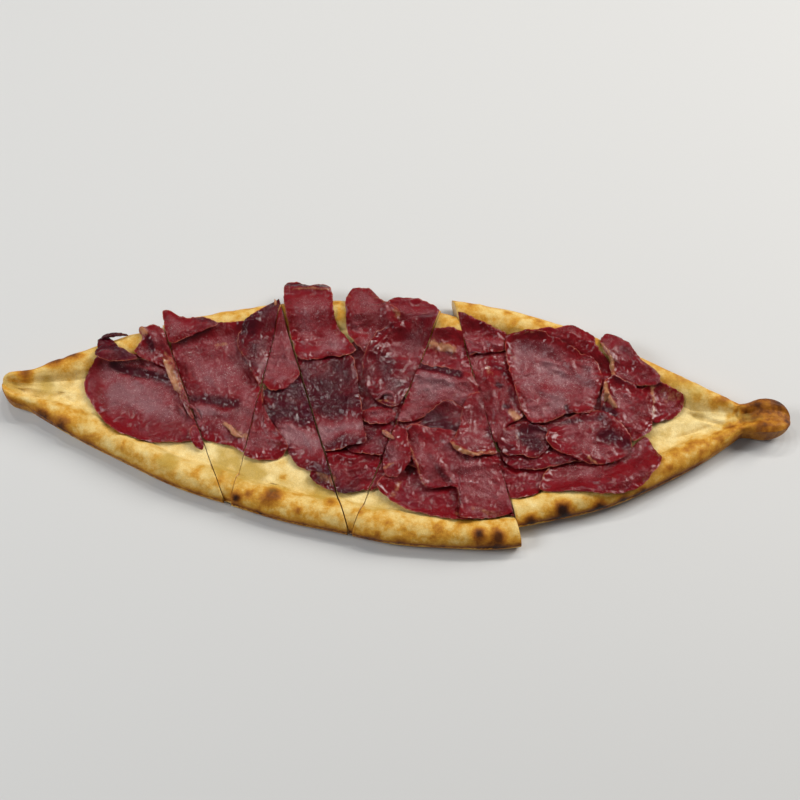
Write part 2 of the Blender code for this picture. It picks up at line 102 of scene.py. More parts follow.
# ---- slices of beef, bottom first ----------------------------------------------
# name, pieces of bread, haze (how milky the surface is), depth (how dark and purple),
# and the outline in plan on the uncut bread
SLICES = (
    ("front_left", (3, 4, 5), 0.35, 0.25,
     ((-45, -44), (-31, -51), (-22, -51), (-12, -48), (3, -38), (5, -28), (2, -20), (-6, -18),
      (-18, -17), (-29, -17), (-38, -22), (-46, -32), (-47, -38))),
    ("front_mid", (5, 6), 0.25, 0.10,
     ((4, -57), (24, -64), (43, -65), (66, -57), (68, -62), (82, -58), (89, -42), (84, -36), (60, -32),
      (42, -21), (8, -27), (-6, -40), (-9, -47))),
    ("front_right", (6,), 0.45, 0.10,
     ((86, -57), (108, -58), (126, -58), (140, -52), (150, -39), (151, -33), (146, -22), (141, -21),
      (129, -34), (121, -37), (98, -34), (91, -38), (84, -51))),
    ("under_mid", (4,), 0.20, 0.50,
     ((-28, 20), (-30, -6), (-29, -23), (-20, -28), (-6, -28), (1, -17), (4, 2), (1, 21), (-18, 44),
      (-29, 43))),
    ("under_fold", (5,), 0.25, 0.40,
     ((0, -7), (-2, -23), (6, -33), (31, -36), (59, -29), (54, -8), (47, 21), (24, 27), (7, 19))),
    ("under_right", (6,), 0.30, 0.30,
     ((56, 0), (59, -25), (67, -42), (89, -42), (124, -31), (144, -15), (147, 8), (131, 20), (96, 6),
      (61, 17))),
    ("mid_left", (3,), 0.15, 0.75,
     ((-75, -10), (-70, -19), (-63, -23), (-55, -34), (-42, -39), (-34, -42), (-24, -40), (-32, 7),
      (-42, 30), (-52, 34), (-61, 23), (-75, 14), (-78, 6))),
    ("wide_left", (2, 3), 0.60, 0.15,
     ((-118, -10), (-108, -22), (-92, -26), (-80, -32), (-70, -32), (-61, -27), (-62, -21), (-75, -2),
      (-81, 22), (-81, 50), (-92, 52), (-120, 47), (-133, 37))),
    ("end_right", (6,), 0.35, 0.00,
     ((142, 7), (141, -6), (149, -11), (155, -9), (162, -6), (166, -1), (167, 4), (165, 7), (160, 10),
      (155, 13), (149, 14))),
    ("back_round", (4,), 0.60, 0.05,
     ((-8, 56), (0, 49), (12, 48), (18, 54), (23, 61), (21, 67), (16, 70), (10, 73), (3, 74), (-4, 73),
      (-9, 69), (-10, 65))),
    ("back_burnt", (5,), 0.30, 0.10,
     ((11, 41), (6, 28), (12, 22), (24, 20), (36, 18), (46, 21), (43, 34), (39, 49), (34, 54),
      (28, 55), (22, 55), (17, 53))),
    ("back_lobe", (4,), 0.60, 0.05,
     ((-24, 81), (-30, 78), (-33, 71), (-33, 63), (-30, 48), (-18, 35), (-10, 37), (-3, 48), (-1, 55),
      (-1, 62), (-8, 66), (-13, 73), (-19, 80))),
    ("strip_right", (6,), 0.35, 0.15,
     ((44, 9), (55, -32), (59, -28), (61, -25), (64, -19), (67, -16), (73, -13), (74, -5), (68, 21),
      (67, 31), (61, 36), (50, 37), (39, 34))),
    ("corner", (6,), 0.40, 0.05,
     ((36, 38), (40, 27), (48, 29), (55, 30), (64, 32), (65, 37), (66, 41), (64, 44), (58, 46),
      (50, 49), (43, 52), (37, 54), (32, 54))),
    ("back_red", (6,), 0.10, 0.10,
     ((79, 36), (91, 32), (108, 16), (119, 10), (126, 14), (126, 24), (117, 34), (115, 41), (105, 48),
      (99, 47), (93, 45), (87, 45), (73, 42))),
    ("back_fold", (6,), 0.40, 0.10,
     ((121, 32), (124, 27), (125, 20), (128, 14), (145, 11), (151, 11), (153, 16), (152, 19),
      (140, 30), (136, 39), (125, 45), (121, 42), (119, 37))),
    ("curled", (6,), 0.40, 0.10,
     ((119, -3), (121, -11), (126, -16), (136, -23), (142, -21), (147, -17), (148, -10), (148, -1),
      (145, 6), (139, 11), (132, 14), (126, 16), (121, 12))),
    ("grey", (6,), 0.70, 0.45,
     ((63, -34), (68, -36), (75, -37), (82, -37), (87, -33), (90, -28), (89, -23), (87, -18),
      (80, -15), (73, -15), (66, -18), (61, -23), (59, -27))),
    ("glossy", (6,), 0.55, 0.20,
     ((90, -29), (101, -36), (113, -39), (127, -37), (132, -34), (135, -28), (135, -22), (128, -13),
      (116, -6), (104, -9), (97, -13), (90, -18), (87, -24))),
    ("wrinkled", (6,), 0.90, 0.00,
     ((72, -4), (76, -12), (80, -16), (91, -13), (102, -8), (110, -9), (115, -3), (120, 12), (118, 23),
      (113, 28), (91, 39), (70, 43), (64, 35))),
    ("ring", (4,), 0.40, 0.40,
     ((-21, 34), (-21, 26), (-20, 17), (-16, 10), (-7, 2), (1, 4), (11, 27), (15, 41), (21, 52),
      (21, 62), (8, 59), (-11, 52), (-15, 48))),
    ("small_mid", (4,), 0.50, 0.10,
     ((-19, -8), (-14, -10), (-7, -9), (-2, -7), (-1, -3), (-4, 0), (-11, 1), (-18, -1), (-21, -4))),
    ("pale", (5,), 0.85, 0.10,
     ((10, 31), (2, 6), (-2, -3), (0, -7), (13, -4), (20, 1), (27, 3), (46, 0), (49, 5), (47, 15),
      (43, 22), (39, 26), (17, 31))),
    ("folded", (5,), 0.30, 0.45,
     ((10, -12), (16, -15), (23, -18), (30, -20), (37, -17), (42, -10), (42, -2), (37, 3), (30, 7),
      (24, 5), (19, 1), (14, -5), (8, -9))),
    ("draped", (5,), 0.55, 0.10,
     ((6, -11), (8, -26), (16, -45), (21, -47), (34, -46), (36, -62), (38, -65), (45, -65), (68, -57),
      (63, -37), (59, -23), (39, -14), (16, -10))),
    ("white_edge", (5,), 0.50, 0.10,
     ((30, -20), (32, -24), (36, -27), (42, -28), (46, -28), (59, -22), (56, -9), (52, 5), (48, 13),
      (41, 11), (37, 2), (35, -11), (32, -18))),
    ("sliver", (5,), 0.40, 0.10,
     ((-6, -21), (-7, -31), (-5, -40), (0, -41), (6, -36), (9, -29), (7, -21), (5, -12), (-3, -10))),
    ("purple", (4,), 0.30, 0.65,
     ((-61, 24), (-57, 9), (-52, -13), (-44, -26), (-26, -25), (-17, -21), (-19, -10), (-22, 9),
      (-25, 26), (-29, 34), (-43, 36), (-58, 35))),
    ("back_tall", (4,), 0.70, 0.05,
     ((-70, 69), (-66, 53), (-61, 37), (-56, 30), (-40, 33), (-31, 34), (-26, 38), (-28, 42),
      (-33, 49), (-39, 58), (-43, 80), (-55, 81), (-69, 82))),
    ("wedge", (3,), 0.70, 0.00,
     ((-74, 58), (-78, 42), (-81, 18), (-77, 15), (-73, 11), (-66, 12), (-60, 16), (-56, 25),
      (-53, 28), (-57, 45), (-63, 64), (-68, 78))),
    ("dark_fold", (2,), 0.15, 0.55,
     ((-94, 44), (-94, 37), (-89, 27), (-82, 16), (-78, 12), (-74, 23), (-70, 43), (-65, 59),
      (-68, 71), (-75, 66), (-80, 62), (-90, 53), (-92, 49))),
    ("flap", (2,), 0.60, 0.05,
     ((-137, 44), (-135, 37), (-131, 36), (-127, 38), (-121, 40), (-116, 43), (-106, 48), (-110, 51),
      (-118, 53), (-127, 53), (-135, 58), (-139, 59), (-140, 57))),
    ("oval", (1,), 0.80, 0.10,
     ((-180, 14), (-178, 4), (-163, -16), (-151, -23), (-139, -25), (-118, -23), (-113, -20),
      (-110, -13), (-118, 6), (-126, 21), (-145, 29), (-164, 29), (-173, 26))),
    ("hook", (1,), 0.30, 0.60,
     ((-174, 25), (-167, 23), (-158, 24), (-151, 26), (-157, 30), (-162, 32), (-165, 36), (-171, 40),
      (-175, 37), (-175, 31))),
    ("ragged", (1,), 0.50, 0.10,
     ((-148, 26), (-142, 25), (-137, 23), (-130, 20), (-122, 18), (-122, 30), (-128, 36), (-138, 45),
      (-143, 49), (-150, 47), (-152, 43), (-149, 38), (-153, 31))),
    ("fat_strip", (1,), 0.30, 0.00,
     ((-132, 16), (-128, 9), (-123, 1), (-119, -6), (-115, -10), (-110, -8), (-112, -5), (-118, 5),
      (-120, 13), (-122, 20), (-127, 26), (-132, 28), (-137, 28))),
    ("small_tip", (1,), 0.30, 0.00,
     ((-116, -21), (-114, -25), (-110, -28), (-108, -28), (-108, -23), (-110, -17), (-113, -14),
      (-116, -15))),
)
# strokes on the slices: what they do, from (X, Y) to (X, Y), half width and strength.
# lift raises the surface, haze makes it milky or clear, the darkening strokes make it darker, fat tan and waxy. The
# darkening strokes are partly the meat's own dark tone and partly painted shade in folds, in recesses under raised
# edges and in holes.
MARKS = {
    "oval": (
        ("lift", -175, 24, -161, 29, 2, 1.3), ("lift", -161, 29, -143, 27, 2, 1.5),
        # painted shade: this darkening stroke, with the sunken stroke beside it, is the shadow of the raised back rim
        ("dark_and_shade", -165, 22, -134, 17, 2.4, 1.1), ("lift", -162, 20, -137, 16, 2.5, -1.1),
        ("fat", -173, 27, -144, 27, 1, 0.55), ("haze", -150, -12, -150, -13, 5.5, -1.2),
        ("haze", -134, -16, -118, -19, 6, -1.2), ("haze", -175, 12, -167, -14, 5, -0.8),
        ("lift", -161, 13, -155, 7, 1.3, 0.9), ("lift", -155, 7, -150, 10, 1.3, 0.8),
        ("lift", -144, 21, -131, 14, 1.4, 0.9), ("lift", -131, 14, -127, 18, 1.3, 0.6),
        ("haze", -164, 2, -153, 9, 7, 0.35), ("haze", -140, -3, -134, -8, 7, 0.3),
        ("lift", -137, -8, -130, -2, 1.5, 0.8), ("fat", -129, 18, -122, 3, 2.5, 0.35),
    ),
    "hook": (
        ("fat", -167, 35, -161, 37, 1.6, 0.35), ("dark_and_shade", -173, 31, -164, 31, 1.6, 0.5),
    ),
    "ragged": (
        ("fat", -151, 45, -148, 41, 2.6, 0.8), ("lift", -151, 45, -147, 41, 2.5, 2.6),
        ("lift", -144, 42, -140, 31, 1.5, 1.3), ("lift", -139, 41, -134, 33, 1.5, 1),
        ("dark_and_shade", -146, 39, -143, 32, 1.5, 0.7), ("fat", -136, 32, -131, 27, 1.6, 0.4),
    ),
    "fat_strip": (
        ("fat", -136, 25, -127, 10, 3, 0.6), ("haze", -127, 10, -120, 2, 3, 0.5),
        ("lift", -126, 11, -120, 3, 1.2, 0.9), ("dark_and_shade", -119, 2, -117, -2, 2, 0.4),
    ),
    "small_tip": (
        ("haze", -120, -1, -112, -8, 2, 0.6), ("dark_and_shade", -110, -18, -108, -29, 1.5, 0.4),
    ),
    "flap": (
        ("dark_and_shade", -119, 52, -109, 50, 3, 0.6), ("haze", -135, 50, -125, 44, 4, 0.2),
        ("lift", -127, 56, -109, 52, 1.6, 1.2), ("lift", -137, 57, -134, 51, 1.6, 1),
        ("lift", -125, 42, -117, 45, 1.3, 0.7), ("fat", -125, 36, -116, 41, 0.9, 0.35),
    ),
    "wide_left": (
        ("haze", -120, 45, -91, 51, 4, -0.9), ("haze", -125, 30, -119, 12, 3, -0.4),
        # painted shade: the darkening stroke in the sunken fold is the fold's shadow
        ("dark_and_shade", -115, 3, -92, 1, 3.2, 0.9), ("lift", -115, 3, -92, 0, 4, -0.9),
        ("lift", -113, -5, -93, -6, 2.6, 1.3), ("haze", -112, -5, -97, -7, 2.4, 0.8),
        ("lift", -114, 39, -99, 32, 1.6, 0.7), ("lift", -119, 24, -112, 32, 1.4, 0.6),
        ("fat", -97, -12, -91, -17, 1.6, 0.95), ("fat", -91, -17, -85, -20, 1.5, 0.8),
        ("fat", -107, 37, -102, 39, 1.4, 0.5), ("haze", -111, 16, -100, 18, 7, 0.25),
        ("lift", -103, -16, -87, -22, 1.3, 0.7), ("haze", -87, -31, -67, -31, 3.5, -0.6),
        ("dark_and_shade", -85, -34, -77, -37, 3, 0.7), ("haze", -107, -15, -102, -19, 3, -0.8),
        ("lift", -97, 10, -87, 16, 1.4, 0.7), ("lift", -92, -1, -77, -2, 1.5, 0.6),
    ),
    "dark_fold": (
        ("haze", -89, 47, -76, 62, 6.5, -0.9), ("dark_and_shade", -88, 50, -78, 64, 5, 0.35),
        ("haze", -86, 32, -79, 26, 5, 0.55), ("lift", -92, 34, -79, 10, 1.3, 1),
        ("fat", -92, 34, -79, 10, 0.7, 0.35), ("lift", -89, 40, -80, 37, 1.5, 0.8),
        ("lift", -80, 34, -76, 23, 1.4, 0.6), ("fat", -76, 68, -74, 64, 1, 0.6),
    ),
    "wedge": (
        ("haze", -74, 21, -62, 16, 5, 0.1), ("lift", -73, 35, -66, 34, 1.3, 0.8),
        ("lift", -66, 34, -59, 28, 1.3, 0.8), ("lift", -75, 25, -61, 23, 1.2, 0.5),
        ("lift", -69, 49, -67, 38, 1.2, 0.6), ("haze", -71, 29, -60, 29, 5, 0.3),
        ("fat", -74, 11, -68, 10, 1, 0.25),
    ),
    "mid_left": (
        ("haze", -72, 8, -56, 13, 5, -0.8), ("dark_and_shade", -70, 7, -55, 11, 4, 0.2),
        ("dark_and_shade", -61, 1, -54, -5, 4, 0.35), ("haze", -64, -16, -44, -21, 6, 0.7),
        ("dark_and_shade", -64, -16, -44, -21, 6, -0.7), ("lift", -64, 2, -59, -5, 1.4, 0.7),
        ("lift", -59, -5, -55, -1, 1.3, 0.6), ("haze", -53, -34, -42, -27, 4, -0.2),
        ("dark_and_shade", -53, -31, -42, -27, 5, -0.6), ("lift", -68, -10, -54, -14, 1.5, 0.5),
    ),
    "back_tall": (
        ("dark_and_shade", -69, 80, -43, 81, 1.8, 0.9), ("lift", -69, 78, -43, 79, 1.7, 1.7),
        ("fat", -68, 77, -43, 78, 0.7, 0.7), ("haze", -69, 68, -65, 55, 2.5, -0.5),
        ("haze", -41, 39, -31, 26, 5, 0.6), ("lift", -42, 37, -33, 35, 1.2, 0.9),
        ("lift", -37, 32, -31, 27, 1.2, 0.9), ("lift", -44, 28, -37, 31, 1.2, 0.8),
        ("lift", -50, 69, -46, 49, 1.4, 0.6), ("lift", -62, 65, -53, 68, 1.3, 0.6),
        ("lift", -63, 44, -41, 43, 1.4, 0.5), ("fat", -40, 70, -37, 49, 0.8, 0.3),
        ("haze", -63, 74, -45, 75, 3, -0.3), ("dark_and_shade", -29, 40, -27, 35, 2, 0.7),
    ),
    "back_lobe": (
        ("fat", -18, 76, -9, 68, 1.6, 0.45), ("fat", -4, 62, -1, 58, 2.4, 0.5),
        ("lift", -29, 59, -17, 61, 1.3, 0.9), ("lift", -29, 54, -19, 56, 1.2, 0.7),
        ("lift", -28, 67, -19, 67, 1.2, 0.7), ("lift", -17, 52, -10, 47, 1.3, 0.7),
        ("haze", -28, 40, -23, 37, 3.5, -0.6), ("fat", -33, 77, -31, 72, 1, 0.35),
    ),
    "back_round": (
        ("haze", -1, 70, 17, 70, 3, -0.5), ("fat", -8, 63, -2, 58, 2.5, 0.5),
        ("lift", 0, 61, 9, 62, 1.3, 0.9), ("lift", 9, 57, 15, 59, 1.3, 0.8),
        ("lift", -6, 70, 11, 72, 1.3, 0.8),
    ),
    "ring": (
        ("haze", -19, 14, -17, 37, 4.5, -0.9), ("haze", -17, 37, -5, 52, 4.5, -0.9),
        ("haze", -5, 52, 6, 57, 4, -0.8), ("lift", -18, 12, -18, 34, 1.8, 1.8),
        ("lift", -18, 34, -7, 49, 1.8, 1.8), ("lift", -16, 22, -12, 14, 1.1, 1),
        ("lift", -11, 36, -12, 27, 1.2, 0.9), ("dark_and_shade", -9, 31, 0, 18, 7, 0.3),
        ("haze", -2, 43, 9, 38, 7, 0.45), ("lift", -10, 10, -3, 7, 1.4, 1.2),
        ("haze", -10, 10, -3, 7, 1.6, 0.7), ("fat", -12, 6, -2, 4, 1.4, 0.45),
        ("lift", -2, 51, 5, 53, 1.2, 0.7), ("lift", -11, 2, -4, 0, 1.2, 0.8),
        ("dark_and_shade", -12, 2, -1, 0, 2, 0.5),
    ),
    "small_mid": (
        ("lift", -15, -3, -4, -1, 1.2, 1), ("haze", -14, -3, -4, -3, 3, 0.5),
        # painted shade: the darkening stroke along the front edge is the shadow line under that edge
        ("dark_and_shade", -16, -12, -5, -12, 1.8, 0.9), ("fat", -7, -13, -2, -17, 1.6, 0.5),
    ),
    "purple": (
        ("haze", -50, 27, -31, 30, 3, -0.6), ("dark_and_shade", -42, 13, -33, 4, 8, 0.5),
        ("haze", -40, 19, -31, 17, 5, 0.3), ("haze", -42, -15, -22, -12, 4, 0.7),
        ("dark_and_shade", -42, -15, -22, -12, 6, -0.9), ("lift", -44, -12, -23, -11, 1.8, 0.5),
        ("haze", -50, 21, -43, -3, 2.2, -0.7), ("lift", -44, 19, -41, 8, 1.2, 0.4),
        ("lift", -28, 27, -23, 4, 1.5, 0.7),
    ),
    "front_left": (
        ("fat", -42, -39, -35, -44, 2.8, 0.6), ("dark_and_shade", -42, -42, -33, -47, 3, 0.35),
        ("haze", -34, -28, -14, -30, 5, -0.5), ("lift", -33, -29, -24, -32, 1.3, 1.1),
        ("lift", -24, -32, -17, -28, 1.3, 1), ("lift", -31, -39, -18, -37, 1.3, 0.9),
        ("lift", -27, -45, -13, -42, 1.2, 0.7), ("dark_and_shade", -35, -51, -18, -53, 2.2, 0.6),
        ("fat", -1, -44, 3, -46, 1.5, 0.5), ("lift", -13, -34, -6, -38, 1.2, 0.8),
        ("haze", -8, -33, 1, -37, 4, 0.4),
    ),
    "sliver": (
        ("lift", -7, -19, -3, -28, 0.9, 1.2), ("lift", -3, -28, 0, -33, 0.9, 1),
        ("haze", -9, -17, -2, -29, 4, 0.5), ("fat", -7, -36, -1, -33, 0.9, 0.7),
        ("lift", -7, -33, 0, -34, 0.9, 1), ("dark_and_shade", -9, -27, -4, -29, 2, 0.4),
    ),
    "pale": (
        # painted shade: the dark, clear stroke in the sunken fold along the back is the shadow under the slice behind
        ("dark_and_shade", 13, 30, 35, 25, 3, 1.1), ("haze", 13, 30, 35, 25, 3.2, -0.7),
        ("lift", 13, 30, 35, 25, 3, -1.1), ("lift", 15, 35, 36, 30, 2.5, 0.9),
        ("lift", 31, 13, 41, 9, 4, 1.6), ("dark_and_shade", 33, 11, 42, 7, 4, 0.4),
        ("lift", 8, 23, 18, 20, 1.2, 0.9), ("lift", 21, 21, 33, 18, 1.2, 0.9),
        ("lift", 15, 15, 24, 16, 1.1, 0.7), ("haze", 12, 20, 30, 17, 6, 0.4),
        ("lift", 1, 1, 24, 7, 1.2, 0.6), ("haze", 1, 1, 22, 6, 2.5, -0.2),
        ("fat", 15, 34, 26, 36, 1.2, 0.4),
    ),
    "back_burnt": (
        ("fat", 19, 46, 30, 43, 3, 0.85), ("lift", 19, 46, 22, 43, 1.4, 1.3),
        ("lift", 24, 48, 27, 44, 1.4, 1.2), ("lift", 28, 46, 31, 42, 1.4, 1.2),
        ("dark_and_shade", 21, 43, 30, 40, 1.6, 0.6), ("haze", 16, 52, 32, 55, 2.6, -0.9),
        ("dark_and_shade", 16, 46, 18, 40, 2, 0.4),
    ),
    "folded": (
        ("dark_and_shade", 17, -1, 31, -13, 5, 0.8), ("haze", 23, -3, 31, -8, 3, -0.5),
        ("lift", 26, 6, 37, 2, 1.5, 1.3), ("haze", 31, 4, 38, -8, 3.5, 0.35),
        ("fat", 24, 5, 27, 8, 0.8, 0.35), ("lift", 19, -8, 30, -15, 1.6, 1),
        ("dark_and_shade", 24, -12, 31, -18, 2.5, 0.5),
    ),
    "white_edge": (
        ("fat", 31, -22, 39, -27, 1.5, 0.75), ("fat", 39, -27, 46, -28, 1.5, 0.85),
        ("fat", 47, -26, 55, -24, 1.4, 0.6), ("lift", 30, -21, 44, -28, 1.2, 0.9),
        ("lift", 44, -28, 55, -24, 1.2, 0.9), ("haze", 37, -11, 48, -17, 5, 0.25),
        ("dark_and_shade", 52, -10, 55, -20, 2.5, 0.5), ("lift", 35, -12, 41, -10, 1.3, 0.7),
    ),
    "draped": (
        ("fat", 7, -20, 16, -46, 0.8, 0.55), ("lift", 7, -20, 16, -46, 1.3, 0.9),
        ("fat", 16, -47, 34, -47, 0.8, 0.4), ("lift", 16, -46, 34, -46, 1.3, 0.9),
        # painted shade: the darkening stroke in the sunken fold is the shadow below the folded-over part
        ("dark_and_shade", 18, -51, 33, -55, 4, 1.2), ("lift", 19, -52, 33, -56, 4, -1.6),
        ("lift", 35, -47, 37, -65, 2, 1.2), ("lift", 19, -26, 32, -43, 1.8, 1.1),
        ("dark_and_shade", 23, -35, 31, -43, 2.2, 0.5), ("haze", 12, -23, 19, -30, 5, 0.35),
        ("haze", 42, -36, 54, -36, 6, 0.35), ("haze", 40, -54, 58, -58, 4.5, -0.7),
        ("lift", 42, -57, 58, -60, 1.3, 0.8), ("fat", 42, -58, 57, -61, 1.6, 0.4),
        ("lift", 27, -18, 36, -33, 1.6, 0.9), ("dark_and_shade", 6, -49, 10, -60, 2, 0.3),
    ),
    "front_mid": (
        ("haze", -5, -56, 31, -65, 3.5, -0.7), ("lift", -1, -56, 15, -61, 1.3, 0.9),
        ("lift", 15, -61, 31, -63, 1.3, 0.8), ("lift", -8, -51, 1, -55, 1.2, 0.8),
        ("fat", -1, -51, 3, -43, 1.5, 0.5), ("haze", 67, -46, 80, -57, 5, -0.2),
        ("fat", 35, -61, 57, -61, 1.8, 0.5),
    ),
    "corner": (
        ("haze", 36, 54, 53, 45, 4.5, -0.9), ("haze", 41, 38, 61, 36, 4, 0.6),
        ("lift", 40, 39, 49, 35, 1.3, 1), ("lift", 50, 38, 60, 34, 1.2, 1),
        ("lift", 58, 44, 63, 33, 1.5, 0.9), ("lift", 40, 50, 49, 47, 1.2, 0.5),
        ("dark_and_shade", 41, 28, 61, 28, 1.6, 0.8),
    ),
    "strip_right": (
        # painted shade: the two small darkened pits stand for shaded holes
        ("dark_and_shade", 60, 9, 61, 8, 1.3, 1.2), ("lift", 60, 9, 61, 8, 1.4, -1),
        ("dark_and_shade", 64, -5, 66, -6, 1.6, 1), ("lift", 64, -5, 66, -6, 1.6, -0.9),
        ("fat", 53, 21, 56, 16, 2.5, 0.35), ("dark_and_shade", 57, 24, 64, 17, 2.5, 0.4),
        ("lift", 55, 25, 63, 20, 1.2, 0.9), ("lift", 59, 18, 66, 16, 1.2, 0.8),
        ("fat", 68, -10, 73, -14, 2.4, 0.95), ("haze", 52, 1, 61, -2, 4, -0.3),
        ("lift", 54, 13, 58, -2, 1.3, 0.7), ("lift", 58, -8, 61, -18, 1.4, 0.8),
        ("dark_and_shade", 64, 15, 70, -4, 1.6, 0.4), ("haze", 56, -18, 64, -22, 3, 0.5),
    ),
    "wrinkled": (
        ("haze", 64, 41, 96, 40, 3.6, -0.95), ("haze", 96, 40, 110, 31, 3.6, -0.9),
        ("lift", 67, 42, 94, 41, 1.6, 1.3), ("lift", 94, 41, 109, 33, 1.6, 1.2),
        ("fat", 69, 41, 94, 41, 0.6, 0.5), ("lift", 72, 15, 81, 19, 1.2, 1.1),
        ("lift", 78, 13, 85, 8, 1.2, 1.1), ("lift", 86, 26, 96, 24, 1.2, 1.1),
        ("lift", 91, 21, 101, 18, 1.2, 1.1), ("lift", 84, 5, 93, 2, 1.2, 1),
        ("lift", 72, 3, 79, -1, 1.2, 1), ("lift", 93, 9, 99, 1, 1.2, 0.9),
        ("lift", 78, -5, 90, -2, 1.2, 1), ("lift", 103, 26, 113, 22, 1.2, 0.8),
        # painted shade: the darkening sunken stroke is shade in a pit
        ("dark_and_shade", 99, -4, 101, -11, 1.4, 0.9), ("lift", 99, -4, 101, -11, 1.4, -1),
        ("haze", 102, -2, 109, -8, 4, -0.5), ("haze", 78, 21, 95, 2, 14, 0.25),
        ("lift", 95, -12, 103, -6, 1.6, 1), ("dark_and_shade", 66, 34, 68, 29, 2, 0.5),
        ("fat", 66, 31, 72, 26, 1.6, 0.35),
    ),
    "back_red": (
        ("haze", 87, 44, 118, 33, 9, -0.6), ("lift", 96, 43, 113, 36, 1.4, 0.7),
        ("lift", 110, 31, 118, 22, 1.6, 0.9), ("fat", 117, 40, 119, 33, 0.8, 0.35),
    ),
    "back_fold": (
        ("fat", 120, 36, 126, 25, 1.8, 0.7), ("fat", 125, 25, 127, 16, 1.6, 0.7),
        ("lift", 120, 36, 126, 24, 1.4, 1.3), ("lift", 129, 42, 142, 30, 1.8, 0.9),
        ("dark_and_shade", 133, 34, 149, 24, 3.5, 0.5), ("lift", 126, 23, 130, 16, 1.4, 0.8),
        ("haze", 129, 37, 140, 33, 3.5, -0.4), ("lift", 140, 26, 149, 20, 1.4, 0.8),
    ),
    "curled": (
        ("fat", 121, 11, 124, 3, 1.8, 0.9), ("fat", 122, 3, 127, -2, 2, 0.8),
        ("lift", 120, 11, 123, 1, 1.6, 1.8), ("lift", 124, 2, 128, -3, 1.5, 1.4),
        # painted shade: the darkening sunken stroke is a shaded hole beside the curled edge
        ("dark_and_shade", 121, -4, 127, -7, 1.8, 1.2), ("lift", 121, -5, 127, -8, 1.8, -1.2),
        ("lift", 131, 6, 139, 3, 1.2, 1), ("lift", 134, -3, 142, 0, 1.2, 0.9),
        ("lift", 128, -12, 140, -17, 1.3, 0.8), ("haze", 135, 1, 141, -8, 5, 0.3),
        ("dark_and_shade", 129, 15, 139, 13, 2.2, 0.5), ("lift", 145, 8, 146, -11, 1.4, 0.8),
    ),
    "glossy": (
        ("dark_and_shade", 124, -21, 134, -27, 5, 0.75), ("haze", 124, -21, 134, -27, 4.5, -0.4),
        ("lift", 104, -29, 110, -35, 1.3, 1.2), ("lift", 112, -30, 114, -39, 1.4, 1.2),
        ("lift", 115, -25, 120, -19, 1.3, 0.9), ("haze", 102, -26, 117, -34, 5, 0.35),
        ("fat", 111, -36, 117, -40, 1, 0.6), ("lift", 90, -21, 103, -17, 1.5, 0.7),
        ("lift", 121, -29, 126, -32, 1.2, 0.8), ("dark_and_shade", 95, -14, 118, -11, 1.8, 0.5),
    ),
    "grey": (
        ("dark_and_shade", 75, -23, 80, -29, 4, 0.8), ("haze", 62, -20, 72, -23, 4.5, 0.4),
        ("fat", 63, -17, 72, -22, 4, 0.2), ("lift", 62, -28, 70, -30, 1.2, 0.9),
        ("lift", 78, -17, 87, -20, 1.3, 1), ("dark_and_shade", 79, -18, 87, -20, 1.8, 0.5),
        ("lift", 67, -17, 77, -16, 1.3, 0.8), ("lift", 82, -27, 88, -24, 1.2, 0.8),
    ),
    "end_right": (
        ("fat", 151, 17, 164, 2, 7, 0.3), ("fat", 149, 12, 150, -6, 1.2, 0.6),
        ("lift", 150, 5, 153, 1, 1.2, 0.7), ("haze", 155, 7, 160, 2, 3, 0.3),
    ),
    "front_right": (
        ("fat", 83, -50, 95, -31, 1.5, 0.65), ("lift", 83, -50, 95, -31, 1.5, 0.8),
        ("haze", 100, -44, 117, -46, 4.5, 0.35), ("lift", 109, -49, 115, -51, 1.2, 1.1),
        ("lift", 117, -46, 123, -49, 1.2, 1.1), ("lift", 124, -43, 129, -47, 1.2, 0.9),
        ("haze", 134, -34, 148, -42, 5, -0.6), ("haze", 94, -55, 127, -56, 3, -0.7),
        ("lift", 98, -40, 111, -41, 1.3, 0.7), ("fat", 139, -51, 148, -40, 1, 0.35),
        ("lift", 137, -38, 140, -44, 1.2, 0.9),
    ),
}
# shreds and curls: name, piece of bread, half width, haze, depth, fat, and a path
# of (X, Y, height above what lies there)
SHREDS = (
    ("crescent", 1, 1.4, 0.1, 0.9, 0.2, ((-173, 37, 0.3), (-171, 39, 1.5), (-166, 41, 2.6), (-162, 41, 2.8),
                                         (-158, 41, 1.6))),
    ("curl_front", 1, 0.8, 0.7, 0.2, 0.15, ((-122, 2, 0.4), (-118, -2, 1.4), (-114, -5, 1.4), (-111, -10, 0.3))),
    ("curl_side", 1, 0.7, 0.7, 0.2, 0.15, ((-126, 0, 0.4), (-122, -4, 1.2), (-119, -9, 0.3))),
    ("stick", 2, 0.7, 0.2, 0.3, 0.9, ((-74, 62, 0.3), (-74, 65, 1.6), (-75, 68, 3.0))),
    ("flake", 2, 1.5, 0.9, 0.0, 0.8, ((-98, -13, 0.3), (-94, -15, 0.9), (-91, -19, 0.9), (-86, -21, 0.3))),
    ("flake_mid", 4, 1.5, 0.9, 0.0, 0.6, ((-8, -13, 0.3), (-5, -16, 0.8), (-1, -20, 0.3))),
    ("curl_ring", 4, 1.1, 1.0, 0.0, 0.1, ((-12, 6, 0.3), (-8, 9, 1.5), (-4, 9, 1.5), (-2, 6, 0.3))),
    ("lump_back", 6, 1.5, 0.2, 0.2, 0.8, ((121, 9, 0.3), (122, 4, 1.8), (121, 0, 0.4))),
    ("lump_front", 6, 1.4, 0.2, 0.4, 0.8, ((123, 2, 0.3), (125, -1, 1.5), (128, -4, 0.3))),
)
BEEF_CUT_BACK = 0.05
CELL = 0.5                   # grid of the stack's heights
DROOP = 0.25


